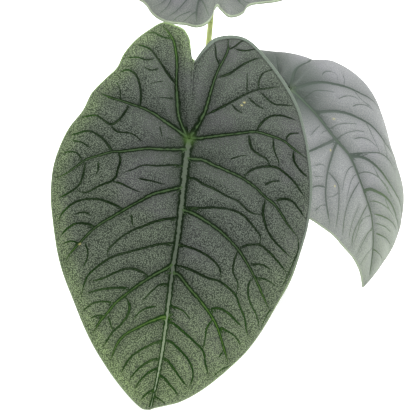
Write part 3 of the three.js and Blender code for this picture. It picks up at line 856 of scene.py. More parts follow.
FRONT_LEFT_MARGIN = [
    (195, 61, 5), (192, 58, 5), (190.5, 48, 5), (189.5, 39, 6), (184, 29.8, 7), (175, 25.5, 9),
    (163, 22.5, 11), (150, 29.5, 12), (135, 41, 11), (124, 54.5, 9), (117.5, 67.5, 8), (105, 79.5, 8.5),
    (92, 93, 9.5), (84, 109, 8.5), (69.5, 127.5, 8), (60, 146.5, 9), (53, 169, 9.5), (51, 195, 8),
    (53, 221, 7.5), (60, 263, 9), (73, 299, 9), (90, 339, 8), (108, 369, 9), (125, 391.5, 11),
    (136, 403.5, 13), (143, 409, 14), (149.5, 410, 14),
]
FRONT_ARCH = 0.05

# Main veins that lay out each side: start on the midrib, end on the margin, and bow
RIGHT_LAYOUT = [
    ((189, 139), (228, 36), -0.015), ((189, 139), (287, 87), 0.11), ((189, 139), (311, 163), 0.14),
    ((186.5, 158), (303, 243), 0.117), ((182, 205), (270, 312), 0.124), ((175, 252), (252, 343), 0.19),
    ((172, 274), (229, 365), 0.1), ((166, 316), (210, 382), 0.127), ((163, 337), (191, 396), 0.15),
    ((158.5, 368), (177, 402), 0.05),
]
LEFT_LAYOUT = [
    ((189, 139), (168, 23), -0.01), ((189, 139), (131, 45.5), 0.06), ((189, 139), (91, 94), 0.07),
    ((187, 149), (52, 180), 0.1), ((183, 187), (60, 262), 0.078), ((175, 243), (75, 303), 0.157),
    ((172, 264), (89, 336), 0.07), ((165, 316), (105, 363), 0.127), ((162, 340), (117, 380), 0.134),
    ((158, 367), (131, 398), 0.127),
]
TIP_FAN_START = 0.93

RIGHT_MIDRIB = [
    (291, 88, 42), (304, 101, 45), (317.4, 115, 49), (334.6, 136, 54), (351, 156, 59), (359.5, 178, 63),
    (366, 199, 69), (370.4, 215, 75), (372.6, 237, 83), (372.3, 254.6, 90), (370, 270, 95), (363, 287.5, 100),
]
RIGHT_FAR_MARGIN = [
    (258, 76, 66), (248, 69, 78), (240, 62, 90), (241, 54.5, 97), (250, 50.8, 99), (262, 51.5, 98),
    (275, 54, 96), (302, 60.5, 95), (335, 70, 96), (352, 78, 98), (367, 91, 100), (378, 108, 102),
    (385, 129, 104), (391, 152, 106), (396, 166, 108), (401, 190, 112), (402, 210, 115), (398.5, 230, 117),
    (391, 249, 115), (380, 266, 110), (370, 279, 105), (363, 287.5, 100),
]
RIGHT_NEAR_MARGIN = [
    (258, 76, 66), (250, 84, 74), (240, 91, 77), (229, 99, 72), (221, 111, 62), (219, 127, 51),
    (226, 149, 42), (241, 172, 37), (262, 192, 35), (286, 207, 36), (309.6, 218.5, 40), (321, 226, 45),
    (333, 235, 52), (343.6, 247, 62), (352.5, 257, 72), (359.6, 271, 86), (363, 287.5, 100),
]
RIGHT_FACING = (0.72, -0.5, 0.48)
RIGHT_ARCH = 0.1

# The ends of the back blade's lobes are pixels with a height above the ground; the rest of it is in
# millimetres from its joint
BACK_JOINT = (12.3, 61.7, 242.0)
BACK_MIDRIB = [(0, 0, 0), (-1, 25, 3), (-2, 55, 3), (-4, 85, -3), (-6, 112, -14), (-8, 136, -33)]
BACK_RIGHT_LOBE = [
    (217.5, 5.5, 237), (220, 9, 236), (224, 13.3, 235), (229, 16.5, 234), (236, 16.2, 232.5),
    (243.4, 12.5, 231), (250, 5, 230),
]
BACK_RIGHT_REST = [
    (41, -32, -13), (56, -15, -14), (64, 6, -13), (64, 30, -12), (56, 56, -13), (40, 83, -17),
    (20, 109, -23), (4, 126, -29), (-8, 136, -33),
]
BACK_LEFT_LOBE = [
    (217.5, 5.5, 237), (214.5, 9.5, 236), (212.8, 15, 235), (209.5, 21, 234), (203.5, 25.2, 233),
    (196, 26.6, 232), (185.4, 24.3, 231), (173, 23.2, 230), (163.5, 20.8, 229), (153.2, 14.3, 228),
    (144.5, 3, 228),
]
BACK_LEFT_REST = [
    (-55, -17, -14), (-66, 4, -14), (-67, 28, -12), (-61, 53, -13), (-49, 79, -17), (-33, 104, -23),
    (-19, 123, -29), (-8, 136, -33),
]
BACK_ARCH = 0.07

# Veins of the front blade, left side first, then the right side, each from the notch to the tip
FRONT_VEINS = [
    *veins(
        VeinRank.LOBE,
        [(187.5, 137), (179.5, 118), (177.7, 105), (175.9, 82.5), (176.8, 64.6), (175, 46.8), (172.3, 38),
         (163.4, 26.3)],
        [(189.8, 138), (197.9, 125.4), (205, 111), (209.5, 96), (213.9, 80.7), (218.4, 69), (223.8, 59.3),
         (227.3, 51.3), (227.8, 39.6)],
    ),
    *veins(
        VeinRank.MAIN,
        [(187.5, 137), (182, 133.4), (175, 128), (164.3, 121), (155.4, 114.6), (143.8, 108.4), (133, 104.8),
         (121.4, 100.8), (110.7, 97.7), (100.9, 93.7)],
        [(187, 149), (164.5, 149.5), (148.2, 148.8), (121.4, 151.4), (112.5, 151.4), (103.6, 153.7),
         (85.7, 159.5), (79.5, 164), (67.9, 173), (58.9, 178)],
        [(183, 187), (170.5, 189.8), (152.7, 194.3), (139.3, 201.4), (125.9, 208.6), (112.5, 216.6),
         (100, 223.8), (89.3, 232.7), (79.5, 243.4), (71.4, 252.3), (66, 260.4)],
        [(172, 265), (168, 267.7), (155.7, 274.3), (141.3, 283), (127, 293.5), (115.5, 303), (107.8, 312.6),
         (100.2, 321.2), (93.5, 332.7)],
        [(164.3, 317), (151, 321.2), (136.5, 328), (125, 334.6), (117.4, 343.2), (113.6, 351.8), (110.7, 359.5)],
        [(188.9, 138), (198, 138), (220, 135.4), (237, 133.6), (256, 131.8), (269.3, 135.4), (283.6, 140.7),
         (294.3, 149.6), (305, 157.7)],
        [(186.5, 158), (192.5, 158.6), (202.3, 159.5), (215.7, 165.7), (230, 172), (242.5, 178.2), (256, 188),
         (264.8, 197), (273.8, 204), (281, 214), (287, 223.8), (297, 236.3)],
        [(182, 210), (189.8, 212), (200.5, 217.5), (211.3, 224.6), (223, 233.6), (233.6, 244.3), (239, 250.5),
         (245, 260), (252.7, 273.4), (258.4, 285), (263.2, 296.4), (268, 307.8)],
        [(177.7, 274.3), (187.2, 285.8), (199, 299.2), (208.7, 311.7), (215.4, 323), (220.2, 335.6), (224, 349),
         (227.8, 361.4)],
    ),
    *veins(
        VeinRank.BRANCH,
        [(160.4, 340.8), (151, 344.2), (141.3, 349), (130.8, 356.6), (125, 365.2), (121.2, 373)],
        [(155.7, 358.5), (146, 362.4), (136.5, 370), (129.8, 378.6)],
        [(156.6, 368), (148, 372), (139.4, 380.5), (134.6, 388.2)],
        [(152.8, 389), (146, 393), (141.3, 398.7)],
        [(174, 82.5), (166, 71), (157, 57.5), (151, 50.4), (143.8, 46.8), (136.6, 45.4)],
        [(140.2, 105.7), (141, 96), (139.3, 82.5), (134.8, 73.6), (127.7, 70.4), (119.6, 73.6)],
        [(128.6, 106.6), (123.2, 114.6), (117.9, 121), (110.7, 124.5), (103.6, 120), (96.4, 115.5),
         (89.3, 116.4), (80.4, 119)],
        [(112.5, 151.4), (103.6, 139.8), (94.6, 133), (87.5, 131), (75, 134.5), (69.6, 136.3)],
        [(118.8, 153), (120.5, 160.4), (117.9, 169.3), (116, 176.4), (111.6, 181), (100, 185.4), (85.7, 192.5),
         (76.8, 190.7)],
        [(84.8, 164), (83, 174.6), (80.4, 182.7), (75, 189), (58.9, 198.8)],
        [(121.4, 207.7), (112.5, 204), (100, 199.6), (85.7, 199.2), (75, 202.3), (66, 209.5), (60.7, 216.6),
         (59.8, 222)],
        [(94.6, 226.4), (85.7, 223.8), (76.8, 223.3), (67.9, 228.2), (60.7, 236.2)],
        [(175, 218), (157, 221), (143.8, 226), (133, 230), (121.4, 237), (112.5, 245), (108, 250.5),
         (108, 256.8)],
        [(173.2, 243.4), (157, 244.7), (143.8, 248), (130.4, 251.4), (112.5, 256.8), (103.6, 262),
         (94.6, 269.3), (88.7, 275.3), (83.9, 288.7), (82, 296.4)],
        [(147, 275.3), (138.4, 270.5), (127, 268.6), (115.5, 272.4), (103, 278.2), (91.6, 281)],
        [(127, 287.7), (113.6, 287.7), (98.3, 289.7), (86.8, 293.5)],
        [(127, 298.3), (129.8, 306), (127.9, 314.5), (121.2, 324), (113.6, 330.8), (107.8, 339.4), (103, 347)],
        [(206.8, 114.6), (217.5, 109.3), (230, 103), (242.5, 96), (255.9, 90.5), (269.3, 88.3), (279, 87)],
        [(218.4, 78), (229, 74.5), (242.5, 65.5), (255.9, 59.3), (261.3, 58.4)],
        [(256, 130.7), (262, 122.7), (270.2, 116.4), (281, 115.5), (289.8, 118.2), (296, 121)],
        [(248.8, 137), (251.4, 148), (257.7, 154), (265.7, 158.6), (270.2, 165.7)],
        [(293.4, 152.3), (293.8, 160.4), (298.8, 169.3), (307.7, 178.2)],
        [(245.2, 174.6), (253.2, 169.3), (264.8, 166.6), (276.4, 167.5), (285.4, 173.8), (294.3, 182.7),
         (300.5, 192.5), (305, 198.8)],
        [(274.6, 201.4), (282.7, 198.8), (290.7, 200.5), (297, 207.7), (304, 218.4)],
        [(264.8, 200.5), (262.6, 212), (265.7, 226.4), (271, 237), (280, 247), (289.8, 256.8)],
        [(193.4, 178.2), (202.3, 183.6), (215.7, 189.8), (226.4, 196), (238, 201.4), (244.3, 207.7),
         (251.4, 213), (261.3, 214.8)],
        [(188, 207.7), (202.3, 208), (215.7, 207.7), (230, 209.5), (242.5, 214.8), (249.6, 222), (256, 230),
         (260.4, 237), (259.5, 245.2)],
        [(240.7, 247), (249.6, 244.7), (260.4, 245.2), (269.3, 252.3), (278.2, 262), (286.2, 272.4)],
        [(184.5, 246), (198, 250.5), (211.3, 258.6), (219.2, 267.7), (221, 278.2)],
        [(181.9, 266.7), (194.3, 271.5), (208.7, 278.2), (218.3, 280.6), (226, 285.8), (235.5, 295.4),
         (239.3, 306), (244, 317.4), (246, 330.8), (249, 338.4)],
        [(208.7, 308.8), (218.3, 307.8), (227.8, 312.6), (235.5, 320.3), (241.2, 326)],
        [(171, 322.2), (184.4, 332.7), (194, 341.3), (203.4, 351.8), (205.4, 363.3), (208.7, 376.7)],
        [(170, 341.3), (179.6, 350), (187.2, 358.5), (192, 368), (193, 376.7), (189, 387)],
        [(165.2, 358.5), (174.8, 370), (181.5, 379.6), (187.2, 386.8)],
        [(162.4, 375.8), (170, 384.4), (175.8, 391), (177.7, 395)],
    ),
    *veins(
        VeinRank.FINE,
        [(152.7, 59.3), (145.5, 60.6), (139.3, 58.4), (126.8, 58.8)],
        [(158, 69), (151, 71), (143.8, 67.3)],
        [(172.3, 39.6), (161.6, 37), (154.5, 33.4), (147.3, 33.8)],
        [(111.6, 126.3), (117, 131.6), (128.6, 133), (135.7, 136), (142.9, 142.3)],
        [(82, 159.5), (77.7, 153.2), (71.4, 152), (63.4, 153.7)],
        [(89.3, 147), (82, 142.5), (72.3, 140.7)],
        [(98.2, 162), (98.2, 169.3), (96, 175.5)],
        [(114.3, 181.8), (121.4, 183.6), (130.4, 188), (141, 192.5)],
        [(177.7, 165.3), (157, 166.2), (143.8, 165.7), (134.8, 169.3), (123.2, 173)],
        [(139.3, 178.7), (151, 181), (164.3, 184.5)],
        [(90.2, 214.8), (84, 212), (74, 214.8)],
        [(79.5, 243.4), (72.3, 240.7), (63.4, 243.4)],
        [(85.7, 243.4), (88.4, 250.5), (88.4, 257.7), (83.9, 267.5)],
        [(131.3, 214.8), (133, 226.4)],
        [(113.6, 302), (103, 301), (93.5, 303), (85.8, 308.8), (82.5, 311.7)],
        [(104, 315.5), (98.3, 315), (90.6, 318.4)],
        [(108.8, 316.4), (111.7, 325), (112.6, 329.8)],
        [(161.4, 284), (151, 291.6), (142.3, 301)],
        [(155.7, 306), (146, 307.8), (138.4, 312.6), (133.7, 319.3)],
        [(218.4, 64.6), (215.7, 59.3), (214.8, 49.5), (214.4, 43.2)],
        [(228.7, 50.4), (235.4, 46.8), (242.5, 41.4), (247.9, 41.9)],
        [(235.4, 50.4), (245.2, 51.7), (256.8, 49)],
        [(257.7, 88), (258.6, 80.7), (263, 73.6), (273, 70)],
        [(260.4, 93.2), (267.5, 99.5), (273.8, 104.4), (283.6, 105.3), (293.4, 106.6)],
        [(248, 98.6), (257.7, 106.6), (264.8, 110.2)],
        [(231.8, 105.7), (238, 112), (242.5, 113.8)],
        [(285.4, 139.8), (289, 134.5), (299.6, 133.6)],
        [(273, 139), (273.8, 150.5), (278.2, 161.3), (279, 165.7)],
        [(264, 185.4), (271, 181.8), (281, 181.3)],
        [(237, 251.4), (233.6, 262), (232.6, 271.5), (237.4, 283), (236.4, 292.5)],
        [(250.8, 263.8), (262.3, 264.8), (271.8, 270.5)],
        [(252.7, 278.2), (249, 282), (247.4, 291.6), (249.8, 303), (255.6, 314.5), (258.4, 327)],
        [(256, 278), (261.3, 278.2), (269, 281), (275.7, 286.8)],
        [(218.3, 326), (227.8, 330.8), (235.5, 336.5), (240.3, 345)],
        [(212.5, 319.3), (206.8, 327), (205, 338.4), (203, 349)],
        [(222, 351.8), (218.3, 357.6)],
        [(158.5, 396.8), (166.2, 403.5)],
        [(174.8, 307), (183.4, 310.7), (191, 319.3)],
    ),
    *veins(
        VeinRank.FAINT,
        [(162.5, 81.6), (150, 84.3)],
        [(173, 98.6), (159, 97.7)],
        [(120.5, 99.5), (120.5, 88.8), (117, 82.5)],
        [(159.8, 127), (162.5, 137)],
        [(246, 93), (246.5, 73.6)],
        [(230, 159.5), (238, 156.8), (247, 155.4)],
        [(297, 237), (297, 250), (291, 265), (287, 275), (281, 287)],
        [(270, 309), (264, 318), (260, 328)],
        [(229, 365), (219, 370), (213, 376)],
    ),
]

# Small pale blemishes, in pixels
FRONT_SPECKS = ((241, 106), (243.5, 103), (80, 244))
RIGHT_SPECKS = ((331, 150), (334, 186), (333, 119))

# Veins of the right blade: its far side, its near side, and those behind the front blade
RIGHT_VEINS = [
    *veins(
        VeinRank.LOBE,
        [(289, 86), (291, 82.5), (296, 69), (308, 62.2)],
        [(289, 88), (268, 95), (248, 97), (234, 100)],
    ),
    *veins(
        VeinRank.MAIN,
        [(291, 88), (297, 87.8), (308, 84.2), (322, 82.6), (335.6, 84.5), (349.2, 88), (359.5, 93), (371, 99)],
        [(314, 111), (317.4, 112.2), (331.7, 111.2), (346, 113), (360.4, 119), (370, 124.5), (379.5, 134),
         (387, 144)],
        [(351, 156), (362, 157), (370, 161), (379.6, 169.6), (388.2, 181), (396.8, 195)],
        [(369.5, 189), (376, 191.5), (383.8, 195.7), (391, 204), (396, 218)],
        [(337.5, 143), (331.7, 160), (328, 172.5), (326, 186), (325.3, 195.7), (326.6, 209), (329.3, 224.3)],
        [(289, 89), (270, 110), (245, 122), (224, 128)],
        [(298, 95.5), (283, 118), (262, 138), (236, 152)],
        [(335.6, 139), (322.2, 145.7), (311.7, 150.4), (295, 158), (275, 169), (258, 182)],
    ),
    *veins(
        VeinRank.BRANCH,
        [(352, 154), (366, 153), (379.6, 153.3), (389, 160), (394, 169)],
        [(370.4, 212.7), (383.8, 217), (391.8, 223.4), (395.4, 231.4)],
        [(373, 232), (384.6, 237.7), (390, 245.7)],
        [(372, 248), (379.3, 254.6), (382, 260)],
        [(359.6, 181.4), (350.7, 195.7), (345.4, 210), (342.7, 224.3), (341.8, 236.8)],
        [(366, 205), (358, 220.7), (352.5, 234), (350.7, 247.5)],
        [(370, 228), (360.5, 244.8), (356, 254.6)],
        [(328.5, 172), (334, 178), (338.4, 185), (338.7, 195.7), (337.8, 210), (334.6, 229.6)],
        [(279, 74), (277.6, 66), (276.7, 55.7)],
        [(326, 187), (316, 186), (304, 192), (292, 203)],
        [(290, 161), (280, 158), (262, 158), (246, 165)],
        [(282, 124), (274, 132), (262, 150), (252, 160)],
    ),
    *veins(
        VeinRank.FINE,
        [(307.8, 95), (313.4, 91.5), (322, 91.2), (335.6, 93)],
        [(320, 77.5), (322, 74), (328.7, 72.4), (335.6, 75), (337.3, 83)],
        [(342.4, 75.8), (344, 81), (343.2, 86)],
        [(335.6, 99.7), (345.8, 96.3), (352.6, 97.2), (359.5, 101.4)],
        [(354, 91), (359.5, 99.7), (366.3, 104.8), (371.4, 108.3)],
        [(349.2, 107.4), (357.7, 104.8), (366.3, 106.6), (373, 111.7)],
        [(335.6, 125.3), (345.8, 123.6), (358, 124.5)],
        [(344, 134), (356, 131), (366, 133)],
        [(352, 139), (361, 138), (369, 141), (377, 149)],
        [(364, 120), (369, 131), (374, 142), (379, 153)],
        [(384, 140), (385, 152), (388, 160)],
        [(372, 166), (377, 176), (385, 188), (393, 200)],
        [(383.5, 198), (387, 208), (392, 216)],
        [(370.4, 247.5), (363.2, 256.4), (358.8, 265.4)],
        [(313, 166), (321, 164.5), (328, 168)],
        [(313, 176.5), (324.5, 177)],
        [(314, 210), (320, 204.5), (326.5, 206)],
        [(310, 136), (315, 130), (321, 124)],
        [(319, 135), (325, 131), (330, 130)],
        [(338.5, 192), (333, 196), (326, 197)],
        [(255, 128), (250, 138), (244, 146)],
        [(276, 170), (284, 180), (290, 192)],
        [(349, 168), (343.5, 180), (341.5, 192)],
        [(353, 176), (347.5, 190), (344.5, 203)],
        [(357, 207), (351, 222), (347.5, 238)],
        [(362, 217), (356, 231), (353, 243)],
        [(366, 231), (360, 241), (356.5, 250)],
        [(363, 172), (372, 174), (382, 182), (390, 193)],
        [(371, 200.5), (379, 203), (388, 210), (393.5, 219)],
        [(375, 223), (383, 226), (390, 233)],
    ),
]


@dataclass(frozen=True)
class SideColumns:
    """The columns of one side of a blade, from the notch to the tip.

    start numbers each column's midrib point, share is the share of the margin where it ends, and
    bow how far it bows towards the notch, as a share of its length.
    """

    start: np.ndarray
    share: np.ndarray
    bow: np.ndarray


@dataclass(frozen=True)
class BladePlan:
    """The plan that the three blades share: midrib points as shares of its length, and columns."""

    stations: np.ndarray
    sides: tuple[SideColumns, SideColumns]

    BODY_COLUMNS = 205
    FAN_SPACING = 1.65

    @classmethod
    def drawn(cls) -> "BladePlan":
        """Lays the plan out on the front blade as the photograph shows it.

        Main veins tie shares of the midrib to shares of each margin. Columns between the notch and
        the last vein from the joint start at the joint, and the others are spaced so that the
        midrib and both margins together are crossed evenly.

        Returns:
            The plan.
        """
        spine = Curve(np.asarray(FRONT_MIDRIB, float)[:, :2])
        travel = np.linspace(0.0, TIP_FAN_START, 2000)
        fine, crossed = travel, travel * spine.length
        tied = []
        for margin, layout in ((FRONT_RIGHT_MARGIN, RIGHT_LAYOUT), (FRONT_LEFT_MARGIN, LEFT_LAYOUT)):
            rim = Curve(np.asarray(margin, float)[:, :2])
            rows = [(0.0, 0.0, 0.0)]
            for start, end, bow in layout:
                along = 0.0 if start == SIGHT.joint_pixel else spine.share_near(start)
                rows.append((along, rim.share_near(end), bow))
            rows.append((TIP_FAN_START, 1.0, 0.0))
            starts, ends, bows = np.array(rows).T
            last = np.count_nonzero(starts == 0.0) - 1
            crossed = crossed + np.interp(fine, starts[last:], ends[last:]) * rim.length
            tied.append((rim.length, last, starts, ends, bows))
        crossed -= crossed[0]
        stations = np.interp(np.linspace(0.0, crossed[-1], cls.BODY_COLUMNS + 1), crossed, fine)
        sides = []
        for length, last, starts, ends, bows in tied:
            fan = np.linspace(0.0, ends[last], round(ends[last] * length / cls.FAN_SPACING))
            share = np.concatenate([fan, np.interp(stations[1:], starts[last:], ends[last:])])
            start = np.concatenate([np.zeros(len(fan), int), np.arange(1, len(stations))])
            sides.append(SideColumns(start, share, np.interp(share, ends, bows)))
        return cls(stations, tuple(sides))


@dataclass
class Blade:
    """One leaf blade: a thin closed sheet whose veins lie in grooves between puffed panels.

    A column runs from a midrib point m to a margin point c. At share r of the way it is at
    m + r (c - m), moved sideways by 4 r (1 - r) * bow and towards the facing side by
    4 r (1 - r) * arch, both times the column's length.
    """

    name: str
    node: str
    slot: str
    plan: BladePlan
    midrib: Curve
    margins: tuple[Curve, Curve]
    facing: tuple[float, float, float]
    arch: float
    finish: LeafFinish
    flush_sides: tuple[float, float] = (0.3, 0.3)
    painted_rim_shading_strength: float = 0.0
    # Strength of the painted highlight band and painted shade line along the upper part of the first margin, where it
    # rolls under
    joint_glow: float = 0.3
    specks: tuple = ()
    midrib_scale: float = 1.0
    vein_scale: float = 1.0
    tip_flush: float = 0.0
    # Painted shade: how much darker the blade is painted near its joint, and pixel x, pixel y and strength of a painted
    # shadow spot where another blade keeps the light off
    painted_shade: float = 0.0
    painted_shadow: tuple[float, float, float] = (0.0, 0.0, 0.0)
    thickness: float = 1.2
    rows: int = 92
    under_rows: int = 36
    panel_lift: float = 0.9
    rib_swell: float = 0.9

    JOINS_WITHIN = 10.0

    starts: np.ndarray = field(init=False)
    points: np.ndarray = field(init=False)
    normals: np.ndarray = field(init=False)
    edge: np.ndarray = field(init=False)
    columns: int = field(init=False)
    side: np.ndarray = field(init=False)
    joint_level: float = field(init=False)

    def __post_init__(self) -> None:
        """Works out the blade's middle surface, its normals and each point's way to the margin."""
        spine = self.midrib.at(self.plan.stations)
        facing = np.array(self.facing) / np.linalg.norm(self.facing)
        r = (np.arange(1, self.rows + 1) / self.rows)[None, :, None]
        hump = 4.0 * r * (1.0 - r)
        sheets, starts, sides = [], [], []
        for columns, margin, turn in zip(self.plan.sides, self.margins, (1.0, -1.0)):
            begin = spine[columns.start][:, None]
            reach = margin.at(columns.share)[:, None] - begin
            length = np.linalg.norm(reach, axis=2, keepdims=True)
            sideways = turn * columns.bow[:, None, None] * np.cross(facing, reach)
            sheet = begin + r * reach + hump * (sideways + self.arch * length * facing)
            # The notch column and the tip column belong to both sides and are kept once
            order = slice(None) if turn > 0 else slice(-2, 0, -1)
            sheets.append(sheet[order])
            starts.append(columns.start[order])
            sides.append(np.full(len(starts[-1]) * self.rows, turn))
        sheet = np.concatenate(sheets)
        self.starts = np.concatenate(starts)
        self.side = np.concatenate([np.zeros(len(spine)), *sides])
        self.columns = len(sheet)
        self.points = np.vstack([spine, sheet.reshape(-1, 3)])
        self.normals = self.vertex_normals()
        self.edge = distance_to_ring(self.points, sheet[:, -1])

    def loop(self, rows: np.ndarray, first: int, spine_first: int) -> np.ndarray:
        """Vertex numbers of each column, from its midrib point to the margin.

        Args:
            rows: the rows that are used.
            first: number of the first vertex of the sheet.
            spine_first: number of the first vertex of the midrib.

        Returns:
            One column per row.
        """
        body = first + np.arange(self.columns)[:, None] * len(rows) + np.arange(len(rows))
        return np.column_stack([self.starts + spine_first, body])

    @staticmethod
    def loop_faces(loop: np.ndarray) -> list[np.ndarray]:
        """Faces between neighbouring columns, with triangles where two start at one point.

        Args:
            loop: vertex numbers, one column per row.

        Returns:
            Quads and triangles that face the blade's upper side.
        """
        following = np.roll(loop, -1, axis=0)
        quads = np.stack([loop[:, :-1], following[:, :-1], following[:, 1:], loop[:, 1:]], axis=-1)
        together = quads[:, 0, 0] == quads[:, 0, 1]
        triangles = quads[together, 0][:, 1:]
        wide = np.concatenate([quads[~together, 0], quads[:, 1:].reshape(-1, 4)])
        return [wide, triangles]

    def vertex_normals(self) -> np.ndarray:
        """Normals of the middle surface: the sum of the faces' normals round each point."""
        loop = self.loop(np.arange(self.rows), self.points.shape[0] - self.columns * self.rows, 0)
        total = np.zeros_like(self.points)
        for part in self.loop_faces(loop):
            corners = self.points[part]
            across = np.cross(corners[:, 2] - corners[:, 0], corners[:, -1] - corners[:, 1])
            if part.shape[1] == 3:
                across = np.cross(corners[:, 1] - corners[:, 0], corners[:, 2] - corners[:, 0])
            for corner in part.T:
                np.add.at(total, corner, across)
        return total / np.linalg.norm(total, axis=1, keepdims=True)

    def trace(self, lines: list[Vein], run_on: bool = False) -> list[tuple[VeinRank, np.ndarray, np.ndarray]]:
        """Lays veins drawn on the photograph on the blade. Those that start near the midrib are
        joined to it.

        Args:
            lines: the drawn veins.
            run_on: whether main veins are carried on along their column to the margin, where the
                blade turns out of sight.

        Returns:
            For each vein its rank, its points in millimetres, and the numbers of the blade's
            points that lie nearest to them in the photograph.
        """
        seen = SIGHT.project(self.points)
        spine = SIGHT.project(self.midrib.samples)[:, :2]
        traced = []
        for line in lines:
            pixels = np.asarray(line.pixels, float)
            gap = np.linalg.norm(spine - pixels[0], axis=1)
            if 1.0 < gap.min() < self.JOINS_WITHIN:
                pixels = np.vstack([spine[gap.argmin()], pixels])
            curve = Curve(pixels)
            drawn = curve.at(np.linspace(0.0, 1.0, max(3, round(curve.length / 2.5))))
            gaps = ((seen[None, :, :2] - drawn[:, None]) ** 2).sum(axis=2)
            nearest = gaps.argmin(axis=1)
            depth = seen[nearest, 2]
            if len(depth) > 4:
                depth = np.convolve(np.pad(depth, 2, mode="edge"), np.full(5, 0.2), mode="valid")
            laid = SIGHT.points(np.column_stack([drawn, depth]))
            if run_on and line.rank in (VeinRank.LOBE, VeinRank.MAIN):
                row = (nearest[-1] - len(self.plan.stations)) % self.rows
                onward = nearest[-1] + np.arange(5, self.rows * 0.95 - row, 4, dtype=int)
                laid = np.vstack([laid, self.points[onward]])
            traced.append((line.rank, laid, nearest))
        return traced

    def borrow(self, traced: list) -> list[tuple[VeinRank, np.ndarray, np.ndarray]]:
        """Carries another blade's veins over, by column and row, and smooths them.

        Args:
            traced: the other blade's veins, as trace() gives them.

        Returns:
            The same for this blade.
        """
        carried = []
        for rank, line, nearest in traced:
            moved = self.points[nearest]
            for _ in range(3):
                moved[1:-1] = 0.25 * moved[:-2] + 0.5 * moved[1:-1] + 0.25 * moved[2:]
            keep = np.concatenate([[True], np.linalg.norm(np.diff(moved, axis=0), axis=1) > 0.05])
            if keep.sum() > 1:
                carried.append((rank, moved[keep], nearest[keep]))
        return carried

    def build(self, traced: list) -> bpy.types.Object:
        """Builds the blade's mesh with its relief and attributes.

        Args:
            traced: the veins, as trace() or borrow() gives them.

        Returns:
            The finished piece.
        """
        points, normals = self.points, self.normals
        veins_here = VeinField.empty(len(points))
        spine = self.midrib.at(np.linspace(0.0, 0.985, 120))
        veins_here.add(points, normals, spine, VeinRank.MIDRIB, self.midrib_scale)
        for rank, line, _ in traced:
            veins_here.add(points, normals, line, rank, self.vein_scale)

        inland = smoothstep(0.0, 9.0, self.edge)
        wide = smoothstep(0.6, 1.4, veins_here.width)
        crest = 0.55 * wide * np.exp(-((veins_here.near / 0.55) ** 2))
        soft = waves(points, 55.0, 3) * 0.8 * inland
        relief = self.panel_lift - veins_here.groove * (0.3 + 0.7 * inland) + crest + soft
        relief -= 1.1 * np.exp(-self.edge / 2.0)
        rib = self.rib_swell * veins_here.width * np.exp(-((veins_here.near / 0.9) ** 2)) * inland
        upper = points + normals * (relief + self.thickness / 2)[:, None]
        lower = points + normals * (relief - self.thickness / 2 - rib)[:, None]

        spine_count = len(points) - self.columns * self.rows
        grid = spine_count + np.arange(self.columns * self.rows).reshape(self.columns, self.rows)
        kept = np.unique(np.linspace(0, self.rows - 1, self.under_rows).round().astype(int))
        used = np.concatenate([np.arange(spine_count), grid[:, kept].ravel()])
        rim = grid[:, -1]
        outward = points[rim] - points[grid[:, -3]]
        outward /= np.linalg.norm(outward, axis=1, keepdims=True)
        bead = (upper[rim] + lower[rim]) / 2 + outward * self.thickness * 0.45
        self.joint_level = relief[0] - self.thickness * 1.5

        top = self.loop(np.arange(self.rows), spine_count, 0)
        first = len(points)
        bottom = self.loop(kept, first + spine_count, first)
        bead_loop = first + len(used) + np.arange(self.columns)
        edges = [
            np.column_stack([top[:, -1], bead_loop]),
            np.column_stack([bead_loop, bottom[:, -1]]),
        ]
        faces = self.loop_faces(top)
        faces += [part[:, ::-1] for part in self.loop_faces(bottom)]
        faces += self.loop_faces(edges[0])[:1] + self.loop_faces(edges[1])[:1]
        piece = new_object(self.name, np.vstack([upper, lower[used], bead]), faces)

        chosen = np.concatenate([np.arange(len(points)), used, rim])
        set_attribute(piece, "vein_side", veins_here.side[chosen])
        set_attribute(piece, "vein_near", veins_here.near[chosen])
        set_attribute(piece, "vein_width", veins_here.width[chosen])
        set_attribute(piece, "vein_core", veins_here.core[chosen])
        set_attribute(piece, "groove", np.minimum(veins_here.groove / 2.4, 1.0)[chosen])
        set_attribute(piece, "edge", self.edge[chosen])
        under = np.concatenate([np.zeros(len(points)), np.ones(len(used)), np.full(len(rim), 0.4)])
        set_attribute(piece, "under", under)
        strength = np.where(self.side > 0, self.flush_sides[0], self.flush_sides[1])
        gap = np.linalg.norm(points - points[0], axis=1)
        far = smoothstep(50.0, 150.0, gap)
        inland = smoothstep(13.0 + 8.0 * far, 2.0, self.edge)
        flush = strength * (0.2 + 0.8 * inland) * (0.5 + 0.5 * far) * smoothstep(28.0, 52.0, gap)
        flush = np.maximum(flush, self.tip_flush * far)
        set_attribute(piece, "flush", flush[chosen])
        # Painted shade: darker towards the joint, and a painted shadow spot round a point of the photograph
        painted_shade = self.painted_shade * smoothstep(38.0, 6.0, gap)
        seen = SIGHT.project(points)[:, :2]
        patch_x, patch_y, strength = self.painted_shadow
        distance = np.linalg.norm(seen - (patch_x, patch_y), axis=1)
        painted_shade = np.maximum(painted_shade, strength * smoothstep(46.0, 8.0, distance))
        set_attribute(piece, "painted_shade", painted_shade[chosen])
        # Painted rim highlight and shade, on the upper part of the first margin only
        painted_rim_shading = np.where(self.side > 0, self.painted_rim_shading_strength, 0.0) * smoothstep(105.0, 75.0, gap)
        set_attribute(piece, "painted_rim_shading", painted_rim_shading[chosen])
        set_attribute(piece, "joint_glow", np.exp(-((gap / 2.8) ** 2))[chosen] * self.joint_glow)
        speck = np.zeros(len(points))
        for spot in self.specks:
            distance = np.linalg.norm(seen - spot, axis=1)
            speck = np.maximum(speck, smoothstep(1.3, 0.4, distance))
        set_attribute(piece, "speck", speck[chosen])
        piece.data.materials.append(self.finish.material())
        return piece

